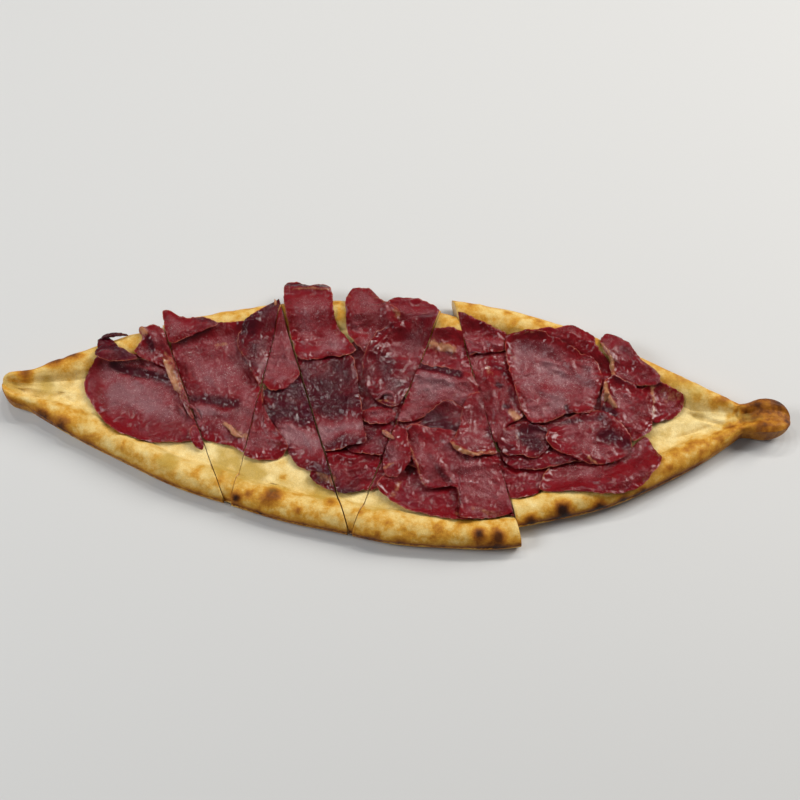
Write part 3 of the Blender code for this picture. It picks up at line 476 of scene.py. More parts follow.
# ---- noise -----------------------------------------------------------------------
def corner_value(ix, iy, iz, seed, part):
    """A repeatable number from -1 to 1 for each whole-numbered corner, from an integer hash."""
    mixed = ix * 374761393 + iy * 668265263 + iz * 2147483647 + (seed * 7 + part) * 974711
    mixed = ((mixed ^ (mixed >> 13)) * 1274126177) & 0x7FFFFFFF
    mixed = ((mixed ^ (mixed >> 15)) * 2246822519) & 0x7FFFFFFF
    return (mixed ^ (mixed >> 11)) % 65521 / 32760.0 - 1.0


def noise(x, y, z, size, seed):
    """Gradient noise, about -1 to 1: each corner of a cubic lattice of the given
    size has a random slope, and the slopes blend by 6t^5 - 15t^4 + 10t^3."""
    scaled = [np.asarray(a, float) / size for a in np.broadcast_arrays(x, y, z)]
    whole = [np.floor(a).astype(np.int64) for a in scaled]
    part = [a - b for a, b in zip(scaled, whole)]
    ease = [t * t * t * (t * (t * 6.0 - 15.0) + 10.0) for t in part]
    total = np.zeros(scaled[0].shape)
    for cx in (0, 1):
        for cy in (0, 1):
            for cz in (0, 1):
                corner = (whole[0] + cx, whole[1] + cy, whole[2] + cz)
                slope = [corner_value(*corner, seed, k) for k in range(3)]
                value = sum(s * (t - c) for s, t, c in zip(slope, part, (cx, cy, cz)))
                share = [e if c else 1.0 - e for e, c in zip(ease, (cx, cy, cz))]
                total += value * share[0] * share[1] * share[2]
    return total * 1.35


def layered(x, y, z, size, seed, octaves=3):
    """Noise of several sizes, each half the size and strength of the one before."""
    return sum(noise(x, y, z, size * 0.5 ** k, seed + 17 * k) * 0.5 ** k for k in range(octaves))


def smooth_step(low, high, value):
    """0 below low, 1 above high, 3t^2 - 2t^3 between them."""
    t = np.clip((value - low) / (high - low), 0.0, 1.0)
    return t * t * (3.0 - 2.0 * t)


def through(points, q):
    """A smooth curve through points (Catmull-Rom) at q from 0 to 1, as two arrays."""
    p = np.array(points, float)
    p = np.concatenate([[2 * p[0] - p[1]], p, [2 * p[-1] - p[-2]]])
    place = np.clip(q, 0.0, 1.0) * (len(points) - 1)
    i = np.minimum(place.astype(int), len(points) - 2)
    t = (place - i)[..., None]
    a, b, c, d = p[i], p[i + 1], p[i + 2], p[i + 3]
    curve = 0.5 * (2 * b + (c - a) * t + (2 * a - 5 * b + 4 * c - d) * t * t + (3 * b - a - 3 * c + d) * t ** 3)
    return curve[..., 0], curve[..., 1]


# ---- bread -------------------------------------------------------------------------
def falling_edge(x, apex, fall):
    """A parabola through its apex, with its own rate of fall on each side."""
    along = x - apex[0]
    rate = np.where(along < 0.0, fall[0], fall[1])
    return apex[1] - math.copysign(1.0, apex[1]) * rate * along ** 2


def half_circle(u):
    """1 at u = 0, falling to 0 at u = -1 and 1 as a half circle does."""
    return np.sqrt(np.clip(1.0 - u ** 2, 0.0, 1.0))


def middle_and_half(x):
    """Middle line and half width of the bread in plan, for an array of X."""
    inside = np.clip(x, TIP_LEFT, NECK_X)
    back = falling_edge(inside, BACK_APEX, BACK_FALL)
    front = falling_edge(inside, FRONT_APEX, FRONT_FALL)
    half = np.maximum(back - front, 0.0) / 2.0
    beyond = np.clip((x - NECK_X) / (KNOB_X - NECK_X), 0.0, 1.0)
    half = half * (1.0 - beyond)
    cap = np.clip((TIP_LEFT + CAP_LENGTH - x) / CAP_LENGTH, 0.0, 1.0)
    half = half * np.sqrt(1.0 - cap ** 2)
    knob = KNOB_HALF_WIDTH * half_circle((x - KNOB_X) / KNOB_HALF_LENGTH)
    tip = TIP_HALF_WIDTH * half_circle((x - TIP_LEFT - CAP_LENGTH) / CAP_LENGTH)
    half = (half ** 3 + knob ** 3 + tip ** 3) ** (1.0 / 3.0)
    return (back + front) / 2.0 + HOOK * cap ** 2, half


def wander(x, phase):
    """A slow uneven wave between about -1 and 1."""
    return 0.6 * np.sin(x / 23.0 + phase) + 0.4 * np.sin(x / 9.7 + 2.3 * phase)


def rise(x):
    """How far the underside lifts at the two ends."""
    over = np.clip(np.abs(x) - TIP_LIFT_FROM, 0.0, None)
    return TIP_LIFT * (over / (TIP_RIGHT - TIP_LIFT_FROM)) ** 2


def end_round(x):
    """1 along the bread, falling to 0 at both ends as a quarter circle does."""
    left = np.clip((TIP_LEFT + CAP_LENGTH - x) / CAP_LENGTH, 0.0, 1.0)
    right = np.clip((x - KNOB_X) / KNOB_HALF_LENGTH, 0.0, 1.0)
    return np.sqrt(np.clip(1.0 - left ** 2 - right ** 2, 0.0, 1.0))


def soft_max(a, b, reach):
    """The greater of two heights, rounded where they are closer than reach."""
    return 0.5 * (a + b + np.sqrt((a - b) ** 2 + reach ** 2))


def rim_of(bread, x, side):
    """Edge distance from the middle line, width, height and floor level of a rim."""
    middle, half = middle_and_half(x)
    slim = np.minimum(1.0, half / NARROW)
    phase = np.where(side < 0.0, 0.7, 3.1)
    edge = half + EDGE_WAVE * slim * wander(x, phase)
    height = bread.rim_height / MM + RIM_WAVE * wander(x, phase + 1.0)
    floor = bread.floor_height / MM
    filled = np.maximum(1.0 - slim, smooth_step(NECK_X - 8.0, NECK_X + 4.0, x))
    floor = floor + (bread.rim_height / MM - 2.0 + 1.6 * smooth_step(NECK_X - 8.0, NECK_X + 4.0, x) - floor) * filled
    return middle, edge, bread.rim_width / MM * slim, height, floor, slim


def bread_section(bread, x, t, over):
    """A point of the section at X. t runs from -1 at the front edge over 0 on the
    middle line to 1 at the back edge; over is True for the top and False below.
    The outer half of t follows the rim's curve, the inner half the floor."""
    side = np.where(t < 0.0, -1.0, 1.0)
    middle, edge, width, height, floor, slim = rim_of(bread, x, side)
    away = np.abs(t)
    share, level = through(RIM_OVER if over else RIM_UNDER, (1.0 - away) * 2.0)
    on_rim = away > 0.5
    inner = edge - width
    y = np.where(on_rim, edge - share * width, inner * away * 2.0)
    if over:
        sag = FLOOR_SAG * slim * np.sin(np.pi * np.clip(away * 2.0, 0.0, 1.0)) ** 2
        meet = 1.2 + 4.0 * (1.0 - slim)
        rim_z = soft_max(level * height, floor, meet)
        z = np.where(on_rim, rim_z, soft_max(RIM_OVER[-1][1] * height, floor, meet) - sag)
    else:
        z = np.where(on_rim, level * height, 0.0)
    z = EDGE_HEIGHT + (z - EDGE_HEIGHT) * end_round(x)
    return middle + side * y, z + rise(x)


def bread_height(bread, x, y):
    """Height of the bread's smooth top at points in plan, and the share of the rim."""
    middle, half = middle_and_half(x)
    side = np.where(y < middle, -1.0, 1.0)
    middle, edge, width, height, floor, slim = rim_of(bread, x, side)
    share = (edge - np.abs(y - middle)) / np.maximum(width, 0.01)
    shares, levels = through(RIM_OVER, np.linspace(0.0, 1.0, 200))
    level = np.interp(share, shares, levels)
    inner = np.maximum(edge - width, 0.01)
    sag = FLOOR_SAG * slim * np.sin(np.pi * np.clip(np.abs(y - middle) / inner, 0.0, 1.0)) ** 2
    meet = 1.2 + 4.0 * (1.0 - slim)
    flat = soft_max(RIM_OVER[-1][1] * height, floor, meet) - sag
    z = np.where(share < 1.0, soft_max(level * height, floor, meet), flat)
    z = EDGE_HEIGHT + (z - EDGE_HEIGHT) * end_round(x)
    return z + rise(x), share


# raised and sunken lines in the dough: from, to, height, half width
DOUGH_LINES = (
    ((-218.0, 5.5), (-209.5, 2.0), -2.4, 2.0),
    ((-209.5, 2.0), (-199.9, 1.0), -2.0, 1.8),
    ((-196.4, 1.6), (-191.3, 5.7), -1.4, 1.3),
    ((-192.2, 2.9), (-183.6, -1.2), -1.2, 1.3),
    ((-222.0, 11.0), (-206.0, 8.0), 1.2, 2.4),
    ((-204.0, -3.0), (-186.0, -8.0), 0.9, 2.2),
    ((-188.0, 8.0), (-184.0, 18.0), -0.8, 1.6),
    ((-73.8, -42.7), (-54.8, -52.1), 1.3, 1.2),
    ((171.3, -3.1), (188.1, -10.0), -2.2, 1.3),
    ((160.9, -19.0), (180.8, -11.2), -1.5, 1.2),
    ((196.0, 6.0), (200.0, -12.0), -2.0, 1.6),
)
# blisters: middle, radius, height, how burnt
BLISTERS = (
    (-201.0, -11.0, 6.0, 0.7, 0.35),
    (-188.0, -15.5, 6.0, 0.9, 0.40),
    (-213.0, 13.0, 5.0, 0.5, 0.40),
    (-198.0, 21.0, 6.0, 0.5, 0.35),
    (-188.0, 26.5, 5.0, 0.4, 0.30),
    (-66.2, -54.6, 5.5, 0.9, 0.45),
    (-62.0, -42.0, 4.0, 0.4, 0.32),
    (-34.0, -57.0, 4.5, 0.5, 0.36),
    (-51.8, -63.4, 3.0, 0.5, 0.40),
    (-86.7, -57.3, 3.5, 0.4, 0.45),
    (47.3, -73.1, 4.0, 0.6, 0.45),
    (57.8, -73.8, 4.5, 0.6, 0.50),
    (95.8, -66.7, 5.0, 0.8, 0.62),
    (117.2, -64.9, 4.5, 0.7, 0.60),
    (130.0, -60.0, 5.0, 0.5, 0.45),
    (141.0, -55.0, 4.0, 0.5, 0.40),
    (78.3, -73.7, 4.0, 0.6, 0.40),
    (189.6, 4.5, 3.5, 0.4, 0.35),
)


# streaks of stronger baking: ends, half width, strength
BROWNED = (
    ((-222.0, -9.0), (-196.0, -21.0), 4.0, 0.22),
    ((-196.0, -19.0), (-178.0, -23.0), 5.0, 0.16),
    ((-178.0, -34.0), (-104.0, -62.0), 4.5, 0.16),
    ((-206.0, 19.0), (-182.0, 31.0), 3.5, 0.22),
    ((-96.0, 64.0), (-60.0, 72.0), 6.0, 0.15),
    ((-92.0, -55.0), (-60.0, -60.0), 5.0, 0.14),
    ((-70.0, -74.0), (10.0, -80.0), 4.0, 0.18),
    ((40.0, -78.0), (66.0, -77.0), 4.0, 0.30),
    ((76.0, -76.0), (136.0, -64.0), 5.0, 0.24),
    ((70.0, -66.0), (118.0, -59.0), 4.0, -0.14),
    ((136.0, -61.0), (192.0, -27.0), 5.0, 0.24),
    ((140.0, -44.0), (188.0, -16.0), 6.0, 0.13),
    ((120.0, 56.0), (150.0, 44.0), 4.0, 0.12),
    ((165.0, 30.0), (190.0, 17.0), 4.5, 0.22),
)


# where oil has soaked in: middle, radius, strength
OIL_SPOTS = (
    (-126.0, -38.0, 6.0, 1.6),
    (-97.0, -37.0, 5.0, 1.3),
    (-104.0, -43.0, 9.0, 0.7),
    (-150.0, -33.0, 14.0, 0.5),
    (-196.0, 4.0, 9.0, 0.6),
    (-78.0, -39.0, 7.0, 1.5),
    (-88.0, -43.0, 9.0, 1.0),
    (-64.0, -47.0, 9.0, 0.9),
    (-42.0, -53.0, 9.0, 0.9),
    (-14.0, -60.0, 8.0, 0.8),
    (-204.0, 8.0, 10.0, 0.6),
    (-176.0, -14.0, 9.0, 0.6),
    (150.0, -20.0, 10.0, 0.7),
    (160.0, 16.0, 9.0, 0.7),
    (172.0, 9.0, 9.0, 1.0),
    (168.0, -12.0, 12.0, 0.6),
)


def line_distance(x, y, start, end):
    """Distance of points from a line, and the share of the way along it."""
    dx, dy = end[0] - start[0], end[1] - start[1]
    along = ((x - start[0]) * dx + (y - start[1]) * dy) / (dx * dx + dy * dy)
    along = np.clip(along, 0.0, 1.0)
    return np.hypot(x - start[0] - along * dx, y - start[1] - along * dy), along


def dough_relief(bread, x, y, z, share):
    """How far the dough stands out of its smooth form: lumps of three sizes, low
    blisters on the rim, the named blisters and folds."""
    rim = smooth_step(1.25, 0.8, share)
    relief = 0.70 * noise(x, y, z, 17.0, 3) + 0.40 * noise(x, y, z, 8.0, 5)
    relief = relief + 0.15 * noise(x, y, z, 3.4, 6)
    patch = smooth_step(0.15, 0.55, noise(x, y, z, 9.0, 8))
    relief = relief + bread.blister_height / MM * patch * rim * smooth_step(-0.3, 0.3, noise(x, y, z, 21.0, 9))
    for bx, by, radius, height, _ in BLISTERS:
        far = np.hypot(x - bx, y - by) / radius
        relief = relief + height * np.exp(-far ** 4)
    for start, end, height, width in DOUGH_LINES:
        away, along = line_distance(x, y, start, end)
        fade = np.sin(np.pi * (0.12 + 0.76 * along))
        relief = relief + height * fade * np.exp(-(away / width) ** 2)
    return relief * end_round(x)


def browning(bread, x, y, z, share, over):
    """How far the dough is baked, from 0 pale to 1 burnt."""
    rough = layered(x, y, z, 16.0, 21)
    fine = layered(x, y, z, 5.0, 24, 2)
    tips = smooth_step(180.0, 215.0, np.abs(x))
    rim = smooth_step(1.25, 0.7, share) * (1.0 - 0.55 * tips)
    baked = 0.09 + 0.12 * rough + 0.20 * rim
    baked = baked + rim * 0.17 * smooth_step(0.10, 0.75, noise(x, y, z, 10.0, 8) + 0.4 * fine)
    low = smooth_step(11.0, 3.5, z - rise(x) + 2.0 * fine + 1.2 * rough) * smooth_step(0.45, 0.2, share)
    baked = baked + rim * (0.58 + 0.16 * rough) * low + 0.09 * fine
    baked = baked + 0.26 * smooth_step(6.0, 0.5, share * RIM_EDGE + 2.5 * fine) * tips
    baked = baked + 0.13 * smooth_step(-203.0, -219.0, x + 3.0 * rough)
    for bx, by, radius, _, burnt in BLISTERS:
        far = np.hypot(x - bx, y - by) / (radius * 0.8) + 0.45 * fine
        baked = baked + burnt * np.exp(-np.clip(far, 0.0, None) ** 2)
    for start, end, width, strength in BROWNED:
        away, along = line_distance(x, y, start, end)
        fade = np.sin(np.pi * (0.08 + 0.84 * along)) * (0.75 + 0.6 * fine)
        baked = baked + strength * fade * np.exp(-(away / width) ** 2)
    knob = smooth_step(192.0, 206.0, x - 0.7 * y + 3.0 * fine)
    baked = np.where(over, baked, 0.46 + 0.22 * rough + 0.16 * fine)
    baked = baked * (1.0 - knob) + knob * (0.70 + 0.20 * rough + 0.16 * fine - 0.16 * smooth_step(2.0, -10.0, y))
    return np.clip(baked, 0.0, 1.0)


def cut_x(index, y):
    """X of a knife cut's line at Y."""
    (bx, by), (fx, fy) = CUTS[index]
    return bx + (y - by) * (fx - bx) / (fy - by)


def cut_lean(index):
    """Distance along X that makes one unit of clear distance from a cut."""
    (bx, by), (fx, fy) = CUTS[index]
    return math.hypot(fx - bx, fy - by) / abs(fy - by)


def piece_span(index, y, clear):
    """X of the left and right side of a piece of bread at Y, kept clear of its cuts."""
    left = np.full(np.shape(y), TIP_LEFT)
    if index > 0:
        left = cut_x(index - 1, y) + clear * cut_lean(index - 1)
    right = np.full(np.shape(y), TIP_RIGHT)
    for k in range(index, len(CUTS)):
        right = np.minimum(right, cut_x(k, y) - clear * cut_lean(k))
    return left, right


def spread(count, index):
    """Shares along a piece from 0 to 1, closer together at a tip of the bread."""
    a = np.linspace(0.0, 1.0, count)
    if index == 0:
        return 1.0 - np.cos(a * np.pi / 2.0) * (1.0 - 0.25 * a)
    if index == len(CUTS):
        return np.sin(a * np.pi / 2.0)
    return a


def bread_sheet(bread, index, t, a, over):
    """Grid of points of a piece: a along it, t across it. X and Y depend on each
    other where the knife ran aslant, so they are found together step by step."""
    share_along, across = np.meshgrid(a, t, indexing="ij")
    x = np.full(share_along.shape, 0.0)
    y = np.zeros(x.shape)
    for _ in range(14):
        left, right = piece_span(index, y, KNIFE_GAP / 2.0)
        x = left + share_along * (right - left)
        y, z = bread_section(bread, x, across, over)
    dy = np.gradient(y, axis=1)
    dz = np.gradient(z, axis=1)
    length = np.maximum(np.hypot(dy, dz), 1e-6)
    _, share = bread_height(bread, x, y)
    edge = smooth_step(1.0, 0.93, np.abs(across))
    if over:
        relief = dough_relief(bread, x, y, z, share)
        relief = relief * (0.35 + 0.65 * edge) * smooth_step(1.0, 0.985, np.abs(across))
        py = y - relief * dz / length
        pz = z + relief * dy / length
    else:
        py = y
        pz = z + 0.2 * np.maximum(noise(x, y, z, 12.0, 31), 0.0) * edge * end_round(x)
    baked = browning(bread, x, y, z, share, over)
    oil = smooth_step(0.7, 1.15, share) * smooth_step(-0.15, 0.65, layered(x, y, 0.0, 26.0, 51)) * float(over)
    for ox, oy, radius, strength in OIL_SPOTS:
        far = np.hypot(x - ox, y - oy) / radius + 0.5 * noise(x, y, z, 6.0, 53)
        oil = oil + strength * np.exp(-np.clip(far, 0.0, None) ** 2) * float(over)
    return x, py, pz, baked, oil


def grid_faces(rows, columns, start=0, flip=False):
    """Quads of a grid of vertices, rows by columns, numbered row after row."""
    i, j = np.meshgrid(np.arange(rows - 1), np.arange(columns - 1), indexing="ij")
    a = (i * columns + j).ravel() + start
    quads = np.stack([a, a + columns, a + columns + 1, a + 1], axis=1)
    return quads[:, ::-1] if flip else quads


def put_mesh(name, points, faces, attributes=None, materials=(), material_index=None):
    """A mesh object from arrays in millimetres."""
    mesh = bpy.data.meshes.new(name)
    mesh.from_pydata((points * MM).astype(np.float32), [], faces.tolist())
    for key, values in (attributes or {}).items():
        kind = "FLOAT_VECTOR" if values.ndim == 2 else "FLOAT"
        layer = mesh.attributes.new(key, kind, "POINT")
        layer.data.foreach_set("vector" if values.ndim == 2 else "value", values.astype(np.float32).ravel())
    for material in materials:
        mesh.materials.append(material)
    if material_index is not None:
        mesh.polygons.foreach_set("material_index", material_index.astype(np.int32))
    mesh.polygons.foreach_set("use_smooth", np.ones(len(mesh.polygons), bool))
    mesh.update()
    obj = bpy.data.objects.new(name, mesh)
    bpy.context.scene.collection.objects.link(obj)
    return obj


def bread_piece(bread, index, materials):
    """One piece of bread: top sheet, underside and the cut faces between them."""
    half = 74
    t = np.linspace(-1.0, 1.0, 2 * half + 1)
    lengths = (130, 50, 75, 70, 85, 175)
    a = spread(lengths[index], index)
    x, y, z, baked, oil = bread_sheet(bread, index, t, a, True)
    bx, by, bz, bbaked, boil = bread_sheet(bread, index, t, a, False)
    rows, columns = x.shape
    shift = np.array(SLIPS[index]) + np.array(CENTRE_SHIFT)
    top = np.stack([x + shift[0], y + shift[1], z], axis=2).reshape(-1, 3)
    low = np.stack([bx + shift[0], by + shift[1], bz], axis=2)
    # the two sheets meet along both edges
    low[:, 0] = top.reshape(rows, columns, 3)[:, 0]
    low[:, -1] = top.reshape(rows, columns, 3)[:, -1]
    low = low.reshape(-1, 3)
    points = [top, low]
    faces = [grid_faces(rows, columns), grid_faces(rows, columns, rows * columns, True)]
    slots = [np.zeros(len(faces[0]), int), np.zeros(len(faces[1]), int)]
    tone = [baked.ravel(), bbaked.ravel()]
    crumb = [np.zeros(rows * columns), np.zeros(rows * columns)]
    soaked = [oil.ravel(), boil.ravel()]
    start = 2 * rows * columns
    steps = 7
    w = np.linspace(0.0, 1.0, steps)
    for row, side, closed in ((0, -1.0, index == 0), (rows - 1, 1.0, index == len(CUTS))):
        if closed:
            continue
        upper = top.reshape(rows, columns, 3)[row]
        lower = low.reshape(rows, columns, 3)[row]
        wall = lower[None] + w[:, None, None] * (upper - lower)[None]
        inner = np.sin(np.pi * w)[:, None] * smooth_step(1.0, 0.9, np.abs(t))[None]
        wall[..., 0] -= side * inner * (0.15 + 0.12 * noise(wall[..., 0], wall[..., 1], wall[..., 2], 2.2, 41))
        depth = np.minimum(w, 1.0 - w)[:, None] * (upper - lower)[None, :, 2]
        points.append(wall.reshape(-1, 3))
        quads = grid_faces(steps, columns, start, flip=side > 0)
        faces.append(quads)
        slots.append(np.ones(len(quads), int))
        tone.append(np.broadcast_to(baked[row], (steps, columns)).ravel())
        crumb.append(np.maximum(depth, 0.0).ravel())
        soaked.append(np.zeros(steps * columns))
        start += steps * columns
    obj = put_mesh(
        f"pide_bread_{index + 1}",
        np.concatenate(points),
        np.concatenate(faces),
        {"baked": np.concatenate(tone), "depth": np.concatenate(crumb), "oil": np.concatenate(soaked)},
        materials,
        np.concatenate(slots),
    )
    close_seams(obj)
    return obj


def close_seams(obj):
    """Merge the doubled points of seams and turn all faces outwards."""
    bm = bmesh.new()
    bm.from_mesh(obj.data)
    bmesh.ops.remove_doubles(bm, verts=bm.verts, dist=2e-6)
    bmesh.ops.dissolve_degenerate(bm, edges=bm.edges, dist=1e-7)
    bmesh.ops.recalc_face_normals(bm, faces=bm.faces)
    bm.to_mesh(obj.data)
    bm.free()
    obj.data.update()


# ---- stack of heights ----------------------------------------------------------------
class Ground:
    """Heights of everything laid so far, on a square grid over the uncut pide."""

    def __init__(self, bread):
        self.low = np.array([TIP_LEFT - 10.0, FRONT_APEX[1] - 12.0])
        xs = np.arange(self.low[0], TIP_RIGHT + 10.0, CELL)
        ys = np.arange(self.low[1], BACK_APEX[1] + 22.0, CELL)
        self.x, self.y = np.meshgrid(xs, ys, indexing="ij")
        base, share = bread_height(bread, self.x, self.y)
        relief = dough_relief(bread, self.x, self.y, base, share)
        level = bread.rim_height / MM - 1.0
        past = np.maximum(0.0, 0.3 - share) * bread.rim_width / MM
        self.z = np.where(share > 0.3, base + relief, level - DROOP * past)

    def window(self, x0, x1, y0, y1):
        i0, j0 = ((np.array([x0, y0]) - self.low) / CELL).astype(int)
        i1, j1 = ((np.array([x1, y1]) - self.low) / CELL).astype(int) + 2
        limit = self.z.shape
        return slice(max(i0, 0), min(i1, limit[0])), slice(max(j0, 0), min(j1, limit[1]))


def blur(a):
    """One pass of the weights 1 2 1 along both axes."""
    p = np.pad(a, 1, mode="edge")
    p = (p[:-2] + 2.0 * p[1:-1] + p[2:]) / 4.0
    return (p[:, :-2] + 2.0 * p[:, 1:-1] + p[:, 2:]) / 4.0


def read_grid(grid, fx, fy):
    """Bilinear value of a grid at fractional cell positions."""
    fx = np.clip(fx, 0.0, grid.shape[0] - 1.001)
    fy = np.clip(fy, 0.0, grid.shape[1] - 1.001)
    i, j = fx.astype(int), fy.astype(int)
    u, v = fx - i, fy - j
    near = grid[i, j] * (1 - v) + grid[i, j + 1] * v
    far = grid[i + 1, j] * (1 - v) + grid[i + 1, j + 1] * v
    return near * (1 - u) + far * u


# ---- beef ------------------------------------------------------------------------------
def closed_curve(points, steps=12):
    """A smooth closed curve through points (Catmull-Rom), as two arrays."""
    p = np.array(points, float)[:, None, :]
    a, b, c, d = np.roll(p, 1, 0), p, np.roll(p, -1, 0), np.roll(p, -2, 0)
    t = (np.arange(steps) / steps)[None, :, None]
    curve = 0.5 * (2 * b + (c - a) * t + (2 * a - 5 * b + 4 * c - d) * t * t + (3 * b - a - 3 * c + d) * t ** 3)
    curve = curve.reshape(-1, 2)
    return curve[:, 0], curve[:, 1]


def reach_out(mx, my, bearing, ox, oy):
    """Distance from a middle to a closed outline along each bearing: the furthest
    crossing of the ray with the outline's sides."""
    dx, dy = np.cos(bearing)[:, None], np.sin(bearing)[:, None]
    ax, ay = ox - mx, oy - my
    ex, ey = np.roll(ox, -1) - ox, np.roll(oy, -1) - oy
    cross = dx * ey - dy * ex
    cross = np.where(np.abs(cross) < 1e-12, 1e-12, cross)
    reach = (ax * ey - ay * ex) / cross
    place = (ax * dy - ay * dx) / cross
    hit = (reach > 0) & (place >= -1e-6) & (place <= 1 + 1e-6)
    return np.where(hit, reach, 0.0).max(axis=1)


class Slice:
    """One slice's plan: an uneven outline seen from its own middle."""

    def __init__(self, row, order):
        self.name, self.pieces, self.haze, self.depth, points = row
        self.seed = 100 + 13 * order
        ox, oy = closed_curve(points)
        area = np.dot(ox, np.roll(oy, -1)) - np.dot(oy, np.roll(ox, -1))
        weight = (ox * np.roll(oy, -1) - oy * np.roll(ox, -1)) / (3.0 * area)
        self.cx = np.sum((ox + np.roll(ox, -1)) * weight)
        self.cy = np.sum((oy + np.roll(oy, -1)) * weight)
        spread_out = np.cov(ox, oy)
        values, axes = np.linalg.eigh(spread_out)
        self.cos, self.sin = axes[:, 1] * np.sign(axes[0, 1] + 1e-9)
        self.length, self.width = 1.5 * np.sqrt(values[1]), 1.5 * np.sqrt(values[0])
        self.bearings = np.linspace(0.0, 2.0 * np.pi, 721)
        radii = reach_out(self.cx, self.cy, self.bearings, ox, oy)
        c, s = np.cos(self.bearings), np.sin(self.bearings)
        ragged = 0.80 * noise(c * radii, s * radii, 0.0, 7.0, self.seed)
        ragged = ragged + 0.70 * noise(c * radii, s * radii, 0.0, 2.8, self.seed + 1)
        ragged = ragged + 0.25 * noise(c * radii, s * radii, 0.0, 1.3, self.seed + 2)
        self.radii = radii + ragged
        self.radii[-1] = self.radii[0]
        self.ring_x = self.cx + self.radii[:-1] * c[:-1]
        self.ring_y = self.cy + self.radii[:-1] * s[:-1]

    def local(self, x, y):
        """Points of the plan in the slice's own frame, its length along the first axis."""
        dx, dy = x - self.cx, y - self.cy
        return dx * self.cos + dy * self.sin, -dx * self.sin + dy * self.cos

    def edge_distance(self, x, y):
        """How far a point lies inside the slice's own edge, negative outside: the
        lesser of the distance along the bearing, set square to the edge, and the
        distance to the nearest point of the outline."""
        dx, dy = x - self.cx, y - self.cy
        far = np.hypot(dx, dy)
        bearing = np.mod(np.arctan2(dy, dx), 2.0 * np.pi)
        radius = np.interp(bearing, self.bearings, self.radii)
        step = 0.03
        ahead = np.interp(np.mod(bearing + step, 2 * np.pi), self.bearings, self.radii)
        back = np.interp(np.mod(bearing - step, 2 * np.pi), self.bearings, self.radii)
        lean = radius / np.hypot(radius, (ahead - back) / (2 * step))
        inside = (radius - far) * lean
        ring = np.stack([self.ring_x[::5], self.ring_y[::5]])
        flat = np.stack([x.ravel(), y.ravel()], axis=1)
        nearest = np.full(len(flat), 1e9)
        for px, py in ring.T:
            nearest = np.minimum(nearest, (flat[:, 0] - px) ** 2 + (flat[:, 1] - py) ** 2)
        nearest = np.sqrt(nearest).reshape(x.shape)
        return np.where(inside > 0.8, np.minimum(inside, nearest), inside)

    def strokes(self, kind, x, y):
        """Sum of the slice's strokes of one kind, each with a bell section."""
        total = np.zeros(np.shape(x))
        wander_x = 1.1 * noise(x, y, self.seed, 5.0, self.seed + 61)
        wander_y = 1.1 * noise(x, y, self.seed, 5.0, self.seed + 62)
        for name, x0, y0, x1, y1, half_width, strength in MARKS.get(self.name, ()):
            if name == kind:
                away, _ = line_distance(x + wander_x, y + wander_y, (x0, y0), (x1 + 0.01, y1))
                total += strength * np.exp(-(away / half_width) ** 2)
        return total

    def relief(self, beef, x, y, inside):
        """Undulation, wrinkles along the slice, and the ruffle of its edge."""
        u, v = self.local(x, y)
        s = self.seed
        bend = noise(u, v, s, 21.0, s + 3)
        broad = 0.5 + 0.5 * bend
        wrinkle = 1.0 - np.abs(layered(u * 0.75 + 2.5 * bend, v, s, 9.0, s + 5, 2)) * 2.2
        fine = noise(u, v, s, 3.0, s + 8)
        near_edge = smooth_step(9.0, 0.0, inside)
        ruffle = np.clip(noise(u, v, s, 12.0, s + 9) * 1.3 + 0.35, 0.0, 1.3)
        crease = 1.0 - np.abs(layered(u, v * 0.8 + 1.5 * bend, s, 4.2, s + 15, 2)) * 2.6
        rise_up = 0.7 * broad + beef.wrinkle_height / MM * (np.clip(wrinkle, 0.0, 1.0) + 0.30 * fine)
        rise_up = rise_up + 0.45 * beef.wrinkle_height / MM * np.clip(crease, 0.0, 1.0)
        rise_up = rise_up + beef.ruffle_height / MM * near_edge ** 1.6 * ruffle
        return np.maximum(rise_up + self.strokes("lift", x, y), -0.25)


def lay_slice(ground, piece, beef):
    """Settle one slice on the stack. The slice is limp but not thin as cloth: its
    surface is the lowest one that clears the stack, eased out of narrow hollows by
    repeated means with its neighbours. Returns the height of its underside."""
    reach = piece.radii.max() + 3.0
    rows, columns = ground.window(piece.cx - reach, piece.cx + reach, piece.cy - reach, piece.cy + reach)
    x, y = ground.x[rows, columns], ground.y[rows, columns]
    inside = piece.edge_distance(x, y)
    belongs = np.zeros(x.shape, bool)
    for number in piece.pieces:
        left, right = piece_span(number - 1, y, 0.0)
        belongs |= (x > left) & (x < right)
    body = (inside > 0.0) & belongs
    stack = ground.z[rows, columns]
    weight = body.astype(float)
    weight_around = blur(weight) + 1e-9
    under = np.where(body, blur(stack), stack.min())
    floor = np.where(body, stack, -100.0)
    for _ in range(beef_ease(beef)):
        under = np.maximum(floor, blur(under * weight) / weight_around)
    # carry the surface on past the slice's edge, so that reading at the edge is safe
    known = weight.copy()
    filled = under * weight
    for _ in range(6):
        spread_weight = blur(known)
        spread_value = blur(filled)
        fresh = (known < 0.5) & (spread_weight > 1e-6)
        filled = np.where(fresh, spread_value / np.maximum(spread_weight, 1e-9), filled)
        known = np.where(fresh, 1.0, known)
    under = np.where(known > 0.0, filled, stack)
    under = under + 0.06 + piece.relief(beef, x, y, inside)
    top = under + slice_thickness(beef, inside)
    ground.z[rows, columns] = np.where(body, np.maximum(stack, top), stack)
    origin = (ground.x[rows, columns][0, 0], ground.y[rows, columns][0, 0])
    return under, origin


def beef_ease(beef):
    return 70


